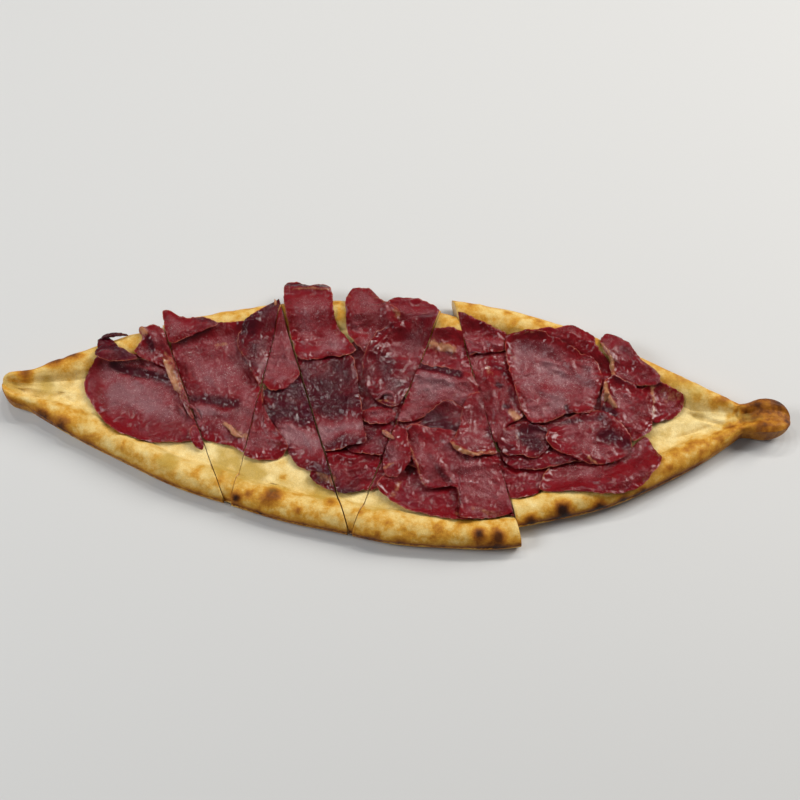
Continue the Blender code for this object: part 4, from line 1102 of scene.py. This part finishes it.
def slice_thickness(beef, inside, crisp=0.9):
    """Thickness at a distance in from the edge: it rounds off as a quarter ellipse
    and is thinner over the outer few millimetres."""
    full = beef.thickness / MM
    body = 0.50 + 0.50 * smooth_step(0.0, 7.0, inside)
    t = np.clip(inside / crisp, 0.0, 1.0)
    return full * body * np.sqrt(np.clip(1.0 - (1.0 - t) ** 2, 0.0, 1.0))


def square_to_disc(count):
    """Concentric map of a square grid onto the unit disc: bearing and radius."""
    a, b = np.meshgrid(np.linspace(-1.0, 1.0, count), np.linspace(-1.0, 1.0, count), indexing="ij")
    radius = np.maximum(np.abs(a), np.abs(b))
    safe = np.where(radius > 0, radius, 1.0)
    wide = np.abs(a) >= np.abs(b)
    bearing = np.where(
        wide,
        np.where(a >= 0, 0.0, np.pi) + np.where(a >= 0, 1.0, -1.0) * (b / safe) * np.pi / 4.0 * np.where(a >= 0, 1.0, 1.0),
        np.where(b >= 0, np.pi / 2.0, -np.pi / 2.0) - np.where(b >= 0, 1.0, -1.0) * (a / safe) * np.pi / 4.0,
    )
    return bearing, radius


def part_outline(piece, number, bearing):
    """Middle of the part of a slice on one piece of bread, and the distance from
    there to the part's outline at each bearing in plan."""
    clear = KNIFE_GAP / 2.0 + BEEF_CUT_BACK
    ox, oy = piece.ring_x, piece.ring_y
    gx, gy = np.meshgrid(np.arange(ox.min(), ox.max(), 0.8), np.arange(oy.min(), oy.max(), 0.8), indexing="ij")
    left, right = piece_span(number - 1, gy, clear)
    held = (piece.edge_distance(gx, gy) > 0) & (gx > left) & (gx < right)
    mx, my = gx[held].mean(), gy[held].mean()
    flat = bearing.ravel()
    outline = reach_out(mx, my, flat, ox, oy)
    dx, dy = np.cos(flat), np.sin(flat)
    for cut, sign in [(number - 2, 1.0)] * (number > 1) + [(k, -1.0) for k in range(number - 1, len(CUTS))]:
        (bx, by), (fx, fy) = CUTS[cut]
        length = math.hypot(fx - bx, fy - by)
        nx, ny = -(fy - by) / length * sign, (fx - bx) / length * sign
        room = (mx - bx) * nx + (my - by) * ny - clear
        closing = -(dx * nx + dy * ny)
        outline = np.where(closing > 1e-6, np.minimum(outline, room / np.maximum(closing, 1e-6)), outline)
    return mx, my, outline.reshape(bearing.shape)


def cut_distance(number, x, y):
    """Distance in from the nearest knife cut beside a piece."""
    left, right = piece_span(number - 1, y, KNIFE_GAP / 2.0 + BEEF_CUT_BACK)
    near = np.full(np.shape(x), 99.0)
    if number > 1:
        near = np.minimum(near, (x - left) / cut_lean(number - 2))
    if number <= len(CUTS):
        near = np.minimum(near, (right - x) / cut_lean(number - 1))
    return near


def slice_mesh(piece, number, under, origin, beef, material):
    """One part of a slice: a square grid carried onto its outline, the upper sheet a
    slice's thickness above the lower one and joined to it along the edge."""
    size = math.sqrt(piece.length * piece.width)
    count = int(np.clip(size * 2.7, 26, 76)) | 1
    bearing, radius = square_to_disc(count)
    mx, my, outline = part_outline(piece, number, bearing)
    far = (1.0 - (1.0 - radius) ** 1.45) * outline
    x, y = mx + far * np.cos(bearing), my + far * np.sin(bearing)
    own = np.maximum(piece.edge_distance(x, y), 0.0)
    cut = np.maximum(cut_distance(number, x, y), 0.0)
    low = read_grid(under, (x - origin[0]) / CELL, (y - origin[1]) / CELL)
    thick = np.minimum(slice_thickness(beef, own), slice_thickness(beef, np.minimum(own + 9.0, 9.0), 0.9)
                       * np.sqrt(np.clip(1 - (1 - np.clip(cut / 0.15, 0, 1)) ** 2, 0, 1)))
    border = radius > 0.9999
    thick = np.where(border, 0.0, thick)
    middle = low + np.where(border, 0.35 * slice_thickness(beef, 9.0), 0.0)
    high = low + thick
    high = np.where(border, middle, high)
    shift = np.array(SLIPS[number - 1]) + np.array(CENTRE_SHIFT)
    upper = np.stack([x + shift[0], y + shift[1], high], axis=2).reshape(-1, 3)
    lower = np.stack([x + shift[0], y + shift[1], low], axis=2).reshape(-1, 3)
    inner = ~border.ravel()
    number_low = np.where(inner, np.cumsum(inner) - 1 + count * count, np.arange(count * count))
    faces_up = grid_faces(count, count)
    faces = np.concatenate([faces_up, number_low[faces_up][:, ::-1]])
    points = np.concatenate([upper, lower[inner]])
    u, v = piece.local(x, y)
    grain = np.stack([u, v, np.full(u.shape, piece.seed * 7.3)], axis=2).reshape(-1, 3) * MM
    seed = piece.seed
    clear_band = smooth_step(0.4, beef.clear_edge / MM, own - 2.5 * np.clip(noise(u, v, seed, 15.0, seed + 35), -0.7, 1.0))
    # darkening: the slice's own dark tone with noise, plus painted shade where its darkening strokes mark folds,
    # recesses and holes; those strokes also take away the milky bloom
    dark_and_shade = piece.depth + 0.35 * noise(u, v, seed, 12.0, seed + 31) + piece.strokes("dark_and_shade", x, y)
    haze = piece.haze - 0.05 + 0.60 * layered(u, v, seed, 15.0, seed + 33, 2)
    haze = haze * clear_band + piece.strokes("haze", x, y) - 0.7 * piece.strokes("dark_and_shade", x, y)
    fat = piece.strokes("fat", x, y) + 0.30 * smooth_step(0.35, 0.8, noise(u, v, seed, 6.0, seed + 37)) * smooth_step(4.0, 0.0, own)
    if piece.name == "fat_strip":
        fat = fat + 0.30
    every = {"grain": grain, "edge": own.reshape(-1), "haze": haze.reshape(-1), "dark_and_shade": dark_and_shade.reshape(-1), "fat": fat.reshape(-1)}
    every = {key: np.concatenate([value, value[inner]]) for key, value in every.items()}
    return put_mesh(f"pide_{piece.name}_{number}", points, faces, every, (material,))


def shred_mesh(row, order, ground, beef, material):
    """A shred: a flattened tube along a smooth path, its half width swelling as the
    square root of a sine from one end to the other and wavering by noise."""
    name, number, half_width, haze, dark_and_shade, fat, path = row
    path = np.array(path, float)
    spots = ((path[:, 0] - ground.low[0]) / CELL, (path[:, 1] - ground.low[1]) / CELL)
    base = read_grid(ground.z, *spots)
    rings, around = 41, 18
    share = np.linspace(0.0, 1.0, rings)
    x, y = through(path[:, :2], share)
    z, _ = through(np.stack([base + path[:, 2] + 0.4, share[:len(path)]], axis=1), share)
    dx, dy = np.gradient(x), np.gradient(y)
    run = np.hypot(dx, dy) + 1e-9
    wide = half_width * np.sqrt(np.sin(np.pi * np.clip(share, 0.0, 1.0)))
    wide = wide * (1.0 + 0.35 * noise(x, y, z, 2.5, 300 + order))
    high = np.minimum(0.45 * wide + 0.1 * np.sqrt(wide), 0.8)
    turn = 2.0 * np.pi * np.arange(around) / around
    out, up = np.cos(turn)[None], np.sin(turn)[None]
    lump = 1.0 + 0.3 * noise(x[:, None] + out, y[:, None] + up, z[:, None], 1.6, 320 + order)
    px = x[:, None] - (dy / run)[:, None] * wide[:, None] * out * lump
    py = y[:, None] + (dx / run)[:, None] * wide[:, None] * out * lump
    pz = z[:, None] + high[:, None] * up * lump
    shift = np.array(SLIPS[number - 1]) + np.array(CENTRE_SHIFT)
    points = np.stack([px + shift[0], py + shift[1], pz], axis=2).reshape(-1, 3)
    i, j = np.meshgrid(np.arange(rings - 1), np.arange(around), indexing="ij")
    a, b = (i * around + j).ravel(), (i * around + (j + 1) % around).ravel()
    faces = np.stack([a, b, b + around, a + around], axis=1)
    count = len(points)
    grain = np.stack([px, py, pz + 40.0 * order], axis=2).reshape(-1, 3) * MM
    every = {"grain": grain, "edge": np.full(count, 5.0), "haze": np.full(count, haze), "dark_and_shade": np.full(count, dark_and_shade),
             "fat": np.full(count, fat)}
    obj = put_mesh(f"pide_{name}", points, faces, every, (material,))
    close_seams(obj)
    return obj


# ---- materials ---------------------------------------------------------------------------
def add(tree, kind, wires=None, **settings):
    """Add a node, set its settings, and feed its sockets from values or other sockets."""
    made = tree.nodes.new(kind)
    for key, value in settings.items():
        setattr(made, key, value)
    for key, source in (wires or {}).items():
        if isinstance(source, bpy.types.NodeSocket):
            tree.links.new(source, made.inputs[key])
        else:
            made.inputs[key].default_value = source
    return made


def ramp(tree, factor, stops):
    """A colour ramp; stops are (place, colour)."""
    made = add(tree, "ShaderNodeValToRGB", {"Fac": factor})
    elements = made.color_ramp.elements
    while len(elements) < len(stops):
        elements.new(0.5)
    for element, (place, colour) in zip(elements, stops):
        element.position = place
        element.color = (*colour, 1.0)
    return made.outputs["Color"]


def mix(tree, factor, first, second, blend="MIX"):
    made = add(tree, "ShaderNodeMix", {0: factor, 6: first, 7: second}, data_type="RGBA", blend_type=blend)
    return made.outputs[2]


def number(tree, operation, first, second=0.0, third=None):
    wires = {0: first, 1: second}
    if third is not None:
        wires[2] = third
    return add(tree, "ShaderNodeMath", wires, operation=operation).outputs[0]


def between(tree, value, low, high, to_low=0.0, to_high=1.0):
    """Carry a range of values onto another one, smoothly and without going past it."""
    wires = {"Value": value, "From Min": low, "From Max": high, "To Min": to_low, "To Max": to_high}
    return add(tree, "ShaderNodeMapRange", wires, interpolation_type="SMOOTHSTEP").outputs["Result"]


def mottle(tree, vector, scale, detail=2.0, rough=0.5, warp=0.0):
    wires = {"Vector": vector, "Scale": scale, "Detail": detail, "Roughness": rough, "Distortion": warp}
    return add(tree, "ShaderNodeTexNoise", wires, noise_dimensions="3D").outputs["Fac"]


def new_material(name):
    material = bpy.data.materials.new(name)
    material.use_nodes = True
    return material, material.node_tree, material.node_tree.nodes["Principled BSDF"]


def rgba(colour):
    return (colour[0], colour[1], colour[2], 1.0)


def crust_material(bread):
    """Baked dough: colour from how far it is baked, broken up by noise of three sizes."""
    material, tree, shader = new_material("pide_crust")
    where = add(tree, "ShaderNodeTexCoord").outputs["Object"]
    baked = add(tree, "ShaderNodeAttribute", attribute_name="baked").outputs["Fac"]
    coarse = mottle(tree, where, 160.0, 3.0, 0.6)
    fine = mottle(tree, where, 620.0, 3.0, 0.6)
    grain = mottle(tree, where, 1700.0, 2.0, 0.6)
    level = number(tree, "ADD", baked, number(tree, "MULTIPLY", number(tree, "SUBTRACT", coarse, 0.5), 0.42))
    level = number(tree, "ADD", level, number(tree, "MULTIPLY", number(tree, "SUBTRACT", fine, 0.5), 0.22))
    colour = ramp(tree, level, (
        (0.04, bread.pale), (0.24, bread.cream), (0.37, bread.golden), (0.50, bread.amber),
        (0.64, bread.brown), (0.79, bread.dark), (0.95, bread.burnt)))
    oil = add(tree, "ShaderNodeAttribute", attribute_name="oil").outputs["Fac"]
    soaked = between(tree, number(tree, "ADD", oil, number(tree, "MULTIPLY", number(tree, "SUBTRACT", coarse, 0.5), 0.9)),
                     0.2, 1.5, 0.0, 0.8)
    colour = mix(tree, soaked, colour, rgba(bread.oily))
    flour = between(tree, grain, 0.35, 0.75, 0.90, 1.08)
    colour = mix(tree, 1.0, colour, add(tree, "ShaderNodeCombineColor", {0: flour, 1: flour, 2: flour}).outputs[0],
                 "MULTIPLY")
    tree.links.new(colour, shader.inputs["Base Color"])
    rough = between(tree, level, 0.2, 0.9, 0.58, 0.48)
    tree.links.new(rough, shader.inputs["Roughness"])
    height = number(tree, "ADD", number(tree, "MULTIPLY", fine, 0.7), number(tree, "MULTIPLY", grain, 0.3))
    bump = add(tree, "ShaderNodeBump", {"Height": height, "Strength": 0.55, "Distance": 0.0008})
    tree.links.new(bump.outputs["Normal"], shader.inputs["Normal"])
    shader.inputs["Specular IOR Level"].default_value = 0.16
    return material


def crumb_material(bread):
    """The cut face: soft crumb with small pores between two thin browned skins."""
    material, tree, shader = new_material("pide_crumb")
    where = add(tree, "ShaderNodeTexCoord").outputs["Object"]
    depth = add(tree, "ShaderNodeAttribute", attribute_name="depth").outputs["Fac"]
    pores = add(tree, "ShaderNodeTexVoronoi", {"Vector": where, "Scale": 620.0, "Randomness": 1.0})
    fine = mottle(tree, where, 900.0, 3.0, 0.6)
    hole = between(tree, pores.outputs["Distance"], 0.10, 0.38)
    skin = between(tree, number(tree, "ADD", depth, number(tree, "MULTIPLY", fine, 0.5)), 0.35, 1.3)
    # pores are darker and sunk by the bump: painted shade in the pores
    inner = mix(tree, hole, rgba(bread.crumb_shade), rgba(bread.crumb))
    colour = mix(tree, skin, rgba(bread.golden), inner)
    tree.links.new(colour, shader.inputs["Base Color"])
    height = number(tree, "ADD", hole, number(tree, "MULTIPLY", fine, 0.4))
    bump = add(tree, "ShaderNodeBump", {"Height": height, "Strength": 0.7, "Distance": 0.0007})
    tree.links.new(bump.outputs["Normal"], shader.inputs["Normal"])
    shader.inputs["Roughness"].default_value = 0.75
    return material


def beef_material(beef):
    """Cured beef: clear red at its thin edges, milky mauve over the middle, purple in the
    dark parts, tan fat, wet with small wrinkles that catch the light. The dark colour also
    carries painted shade in folds, recesses and holes; the orange of the outermost edge is
    partly painted light shining through it; the pale specks are partly painted glints."""
    material, tree, shader = new_material("pide_beef")
    where = add(tree, "ShaderNodeAttribute", attribute_name="grain").outputs["Vector"]
    edge = add(tree, "ShaderNodeAttribute", attribute_name="edge").outputs["Fac"]
    haze = add(tree, "ShaderNodeAttribute", attribute_name="haze").outputs["Fac"]
    dark_and_shade = add(tree, "ShaderNodeAttribute", attribute_name="dark_and_shade").outputs["Fac"]
    fat = add(tree, "ShaderNodeAttribute", attribute_name="fat").outputs["Fac"]
    broad = mottle(tree, where, 95.0, 3.0, 0.6, 0.6)
    mid = mottle(tree, where, 330.0, 4.0, 0.65, 0.4)
    fine = mottle(tree, where, 1500.0, 3.0, 0.7)
    creases = mottle(tree, where, 420.0, 2.0, 0.5, 1.6)
    crease = between(tree, number(tree, "ABSOLUTE", number(tree, "SUBTRACT", creases, 0.5)), 0.0, 0.10, 1.0, 0.0)

    def swing(value, amount):
        return number(tree, "MULTIPLY", number(tree, "SUBTRACT", value, 0.5), amount)

    # mix towards the dark colour: the meat's own dark tone, and painted shade in folds, recesses and holes
    dark = between(tree, number(tree, "ADD", dark_and_shade, swing(broad, 0.9)), 0.05, 0.95)
    colour = mix(tree, dark, rgba(beef.lean), rgba(beef.dark_and_shade))
    milk = number(tree, "ADD", number(tree, "ADD", haze, swing(mid, 0.9)), swing(fine, 0.5))
    milky = between(tree, milk, 0.05, 1.25, 0.0, 0.92)
    bloom = mix(tree, between(tree, number(tree, "ADD", dark_and_shade, swing(broad, 1.4)), 0.1, 0.9), rgba(beef.haze),
                rgba(beef.mauve))
    bloom = mix(tree, between(tree, milk, 0.75, 1.35), bloom, rgba(beef.grey))
    colour = mix(tree, milky, colour, bloom)
    # pale specks in clusters: partly fine grains of the meat, partly painted glints of a wet surface
    cluster = between(tree, number(tree, "ADD", number(tree, "MULTIPLY", haze, 0.45), broad), 0.60, 0.90)
    grain_and_glint_speck = number(tree, "MULTIPLY", between(tree, fine, 0.57, 0.70), cluster)
    colour = mix(tree, number(tree, "MULTIPLY", grain_and_glint_speck, 0.55), colour, rgba(beef.grains_and_glints))
    waxy = between(tree, number(tree, "ADD", fat, swing(mid, 1.5)), 0.2, 0.9, 0.0, 0.85)
    colour = mix(tree, waxy, colour, rgba(beef.fat))
    # orange along the outermost edge, in noisy patches: partly the thin edge's own colour, partly painted light
    # shining through it
    lit = between(tree, mottle(tree, where, 75.0, 1.0, 0.5), 0.42, 0.56)
    thin = between(tree, number(tree, "ADD", edge, swing(mid, 0.9)), 0.55, 0.05, 0.0, 0.85)
    thin = number(tree, "MULTIPLY", thin, lit)
    colour = mix(tree, thin, colour, rgba(beef.edge))
    tree.links.new(colour, shader.inputs["Base Color"])
    wet = between(tree, mottle(tree, where, 60.0, 2.0, 0.5, 1.0), 0.48, 0.62)
    rough = between(tree, number(tree, "ADD", milk, swing(broad, 0.8)), 0.0, 1.1, 0.12, 0.26)
    tree.links.new(rough, shader.inputs["Roughness"])
    soft = mottle(tree, where, 380.0, 1.0, 0.4, 0.8)
    height = number(tree, "MULTIPLY", soft, 0.75)
    height = number(tree, "ADD", height, number(tree, "MULTIPLY", fine, between(tree, cluster, 0.0, 1.0, 0.04, 0.32)))
    height = number(tree, "ADD", height, number(tree, "MULTIPLY", number(tree, "MULTIPLY", crease, wet), 0.30))
    bump = add(tree, "ShaderNodeBump", {"Height": height, "Strength": 0.80, "Distance": 0.0010})
    tree.links.new(bump.outputs["Normal"], shader.inputs["Normal"])
    shader.inputs["Coat Weight"].default_value = 0.10
    shader.inputs["Coat Roughness"].default_value = 0.05
    shader.inputs["Specular IOR Level"].default_value = 0.28
    return material


# ---- settings ------------------------------------------------------------------------------
def colour_property(name, about, value):
    return bpy.props.FloatVectorProperty(name=name, description=about, default=value, size=3, min=0.0, max=1.0,
                                         subtype="COLOR")


def length_property(name, about, value):
    return bpy.props.FloatProperty(name=name, description=about, default=value, min=0.0, unit="LENGTH",
                                   subtype="DISTANCE", precision=5)


class PideBreadSettings(bpy.types.PropertyGroup):
    rim_height: length_property("Rim height", "Height of the folded rim", 0.013)
    rim_width: length_property("Rim width", "Width of the folded rim in plan", 0.019)
    floor_height: length_property("Floor thickness", "Thickness of the bread under the beef", 0.006)
    blister_height: length_property("Blister height", "Height of the small blisters on the rim", 0.0007)
    pale: colour_property("Pale", "Least baked dough", (0.84, 0.66, 0.30))
    cream: colour_property("Cream", "Lightly baked dough", (0.73, 0.49, 0.150))
    golden: colour_property("Golden", "Golden crust", (0.61, 0.300, 0.034))
    amber: colour_property("Amber", "Crust between golden and brown", (0.44, 0.170, 0.014))
    brown: colour_property("Brown", "Browned crust", (0.26, 0.080, 0.006))
    dark: colour_property("Dark", "Dark crust", (0.095, 0.026, 0.004))
    burnt: colour_property("Burnt", "Burnt spots", (0.028, 0.009, 0.004))
    oily: colour_property("Oily", "Dough soaked with oil", (0.46, 0.295, 0.050))
    crumb: colour_property("Crumb", "Inside of the bread", (0.72, 0.52, 0.26))
    # colour of the pores, darker as painted shade in them
    crumb_shade: colour_property("Crumb shade", "Pores of the crumb", (0.50, 0.32, 0.13))


class PideBeefSettings(bpy.types.PropertyGroup):
    thickness: length_property("Thickness", "Thickness of a slice", 0.0013)
    wrinkle_height: length_property("Wrinkle height", "Height of the wrinkles of a slice", 0.0009)
    ruffle_height: length_property("Edge ruffle", "How far the edges of a slice stand up", 0.0012)
    clear_edge: length_property("Clear edge", "Width of the clear red band along an edge", 0.0058)
    lean: colour_property("Lean", "Clear red of the meat", (0.165, 0.004, 0.007))
    # dark colour of the meat, which also serves as painted shade in folds, recesses and holes
    dark_and_shade: colour_property("Deep", "Dark parts", (0.050, 0.002, 0.006))
    haze: colour_property("Haze", "Milky bloom of the meat", (0.208, 0.040, 0.049))
    mauve: colour_property("Mauve", "Bloom over dark parts", (0.100, 0.020, 0.027))
    grey: colour_property("Grey bloom", "Thickest bloom of the meat", (0.225, 0.082, 0.092))
    # pale specks: partly fine grains, partly painted glints
    grains_and_glints: colour_property("Grains", "Fine bright grains", (0.60, 0.36, 0.35))
    # orange of the outermost edge: partly its own colour, partly painted light shining through the thin edge
    edge: colour_property("Edge", "Thin edge of a slice", (0.42, 0.095, 0.055))
    fat: colour_property("Fat", "Fat of a slice", (0.42, 0.19, 0.085))


class PideStageSettings(bpy.types.PropertyGroup):
    floor_colour: colour_property("Floor colour", "Colour of the table", (0.60, 0.60, 0.59))
    key_power: bpy.props.FloatProperty(name="Key light", description="Power of the large soft light", default=13.0,
                                       min=0.0, unit="POWER")
    fill: bpy.props.FloatProperty(name="Fill", description="Strength of the even light from all round",
                                  default=0.15, min=0.0)


def finish_piece(obj, node):
    """The piece rides with the pide, and the imported solid of its node is hidden."""
    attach(obj, "root")
    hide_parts(node)


class PIDE_OT_bread(bpy.types.Operator):
    """Make the six pieces of bread"""

    bl_idname = "pide.bread"
    bl_label = "Bread"

    def execute(self, context):
        bread = context.scene.pide_bread
        materials = (crust_material(bread), crumb_material(bread))
        for index in range(len(SLIPS)):
            obj = bread_piece(bread, index, materials)
            finish_piece(obj, f"bread_{index + 1}")
        return {"FINISHED"}


class PIDE_OT_beef(bpy.types.Operator):
    """Lay the slices of cured beef, bottom slice first"""

    bl_idname = "pide.beef"
    bl_label = "Cured beef"

    def execute(self, context):
        beef = context.scene.pide_beef
        ground = Ground(context.scene.pide_bread)
        material = beef_material(beef)
        for order, row in enumerate(SLICES):
            piece = Slice(row, order)
            under, origin = lay_slice(ground, piece, beef)
            for number_of_piece in piece.pieces:
                obj = slice_mesh(piece, number_of_piece, under, origin, beef, material)
                finish_piece(obj, f"beef_{piece.name}_{number_of_piece}")
        for order, row in enumerate(SHREDS):
            obj = shred_mesh(row, order, ground, beef, material)
            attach(obj, "root")
        return {"FINISHED"}


CAMERA_PLACE = (0.0023, -0.3472, 0.7016)
CAMERA_ELEVATION = 63.0
CAMERA_ROLL = 2.3
CAMERA_LENS = 60.97


class PIDE_OT_stage(bpy.types.Operator):
    """Make the table, the soft lights and the camera"""

    bl_idname = "pide.stage"
    bl_label = "Stage"

    def execute(self, context):
        stage = context.scene.pide_stage
        scene = context.scene
        scene.view_settings.view_transform = "Standard"
        size = 2.5
        corners = np.array([(-size, -size, 0), (size, -size, 0), (size, size, 0), (-size, size, 0)]) / MM
        corners[:, 2] = -0.05
        material, tree, shader = new_material("pide_table")
        where = add(tree, "ShaderNodeTexCoord").outputs["Object"]
        cloud = mottle(tree, where, 3.0, 2.0)
        shade = mix(tree, between(tree, cloud, 0.3, 0.7, 0.0, 0.04), rgba(stage.floor_colour), (0.6, 0.6, 0.6, 1.0))
        tree.links.new(shade, shader.inputs["Base Color"])
        shader.inputs["Roughness"].default_value = 0.6
        floor = put_mesh("table", corners, np.array([[0, 1, 2, 3]]), None, (material,))

        world = bpy.data.worlds.new("studio")
        scene.world = world
        world.use_nodes = True
        background = world.node_tree.nodes["Background"]
        background.inputs["Color"].default_value = (0.95, 0.97, 1.0, 1.0)
        background.inputs["Strength"].default_value = stage.fill

        for name, place, width, power, tint in (
            ("key", (1.52, 0.96, 1.28), 0.96, stage.key_power * 2.9, (1.0, 0.97, 0.93)),
            ("side", (-1.5, -0.15, 1.28), 0.75, stage.key_power * 1.45, (0.96, 0.98, 1.0)),
            ("glint_left", (-0.40, 0.58, 1.05), 0.05, stage.key_power * 0.13, (1.0, 0.98, 0.95)),
            ("glint_middle", (-0.02, 0.70, 1.10), 0.05, stage.key_power * 0.15, (1.0, 0.98, 0.95)),
            ("glint_right", (0.38, 0.62, 1.05), 0.05, stage.key_power * 0.13, (1.0, 0.98, 0.95)),
        ):
            light = bpy.data.lights.new(name, "AREA")
            light.shape = "SQUARE"
            light.size = width
            light.energy = power
            light.color = tint
            lamp = bpy.data.objects.new(name, light)
            scene.collection.objects.link(lamp)
            lamp.location = place
            lamp.rotation_euler = (Vector((0, 0, 0)) - Vector(place)).to_track_quat("-Z", "Y").to_euler()

        camera = bpy.data.cameras.new("camera")
        camera.sensor_width = 36.0
        camera.lens = CAMERA_LENS
        camera.clip_start = 0.01
        view = bpy.data.objects.new("camera", camera)
        scene.collection.objects.link(view)
        turn = Matrix.Rotation(math.radians(90.0 - CAMERA_ELEVATION), 4, "X")
        roll = Matrix.Rotation(math.radians(CAMERA_ROLL), 4, "Z")
        view.matrix_world = Matrix.Translation(Vector(CAMERA_PLACE)) @ turn @ roll
        scene.camera = view
        return {"FINISHED"}


class PIDE_PT_panel(bpy.types.Panel):
    """The pide's sizes, colours and steps"""

    bl_label = "Turkish pide"
    bl_idname = "PIDE_PT_panel"
    bl_space_type = "VIEW_3D"
    bl_region_type = "UI"
    bl_category = "Pide"

    def draw(self, context):
        for title, group, operator in (
            ("Bread", context.scene.pide_bread, "pide.bread"),
            ("Beef", context.scene.pide_beef, "pide.beef"),
            ("Stage", context.scene.pide_stage, "pide.stage"),
        ):
            box = self.layout.box()
            box.label(text=title)
            for key in group.bl_rna.properties.keys():
                if key not in ("rna_type", "name"):
                    box.prop(group, key)
            box.operator(operator)


CLASSES = (
    PideBreadSettings,
    PideBeefSettings,
    PideStageSettings,
    PIDE_OT_bread,
    PIDE_OT_beef,
    PIDE_OT_stage,
    PIDE_PT_panel,
)


def register():
    for cls in CLASSES:
        bpy.utils.register_class(cls)
    bpy.types.Scene.pide_bread = bpy.props.PointerProperty(type=PideBreadSettings)
    bpy.types.Scene.pide_beef = bpy.props.PointerProperty(type=PideBeefSettings)
    bpy.types.Scene.pide_stage = bpy.props.PointerProperty(type=PideStageSettings)


def unregister():
    del bpy.types.Scene.pide_stage
    del bpy.types.Scene.pide_beef
    del bpy.types.Scene.pide_bread
    for cls in reversed(CLASSES):
        bpy.utils.unregister_class(cls)


def main():
    register()
    bpy.ops.pide.bread()
    bpy.ops.pide.beef()
    bpy.ops.pide.stage()


if __name__ == "__main__":
    main()
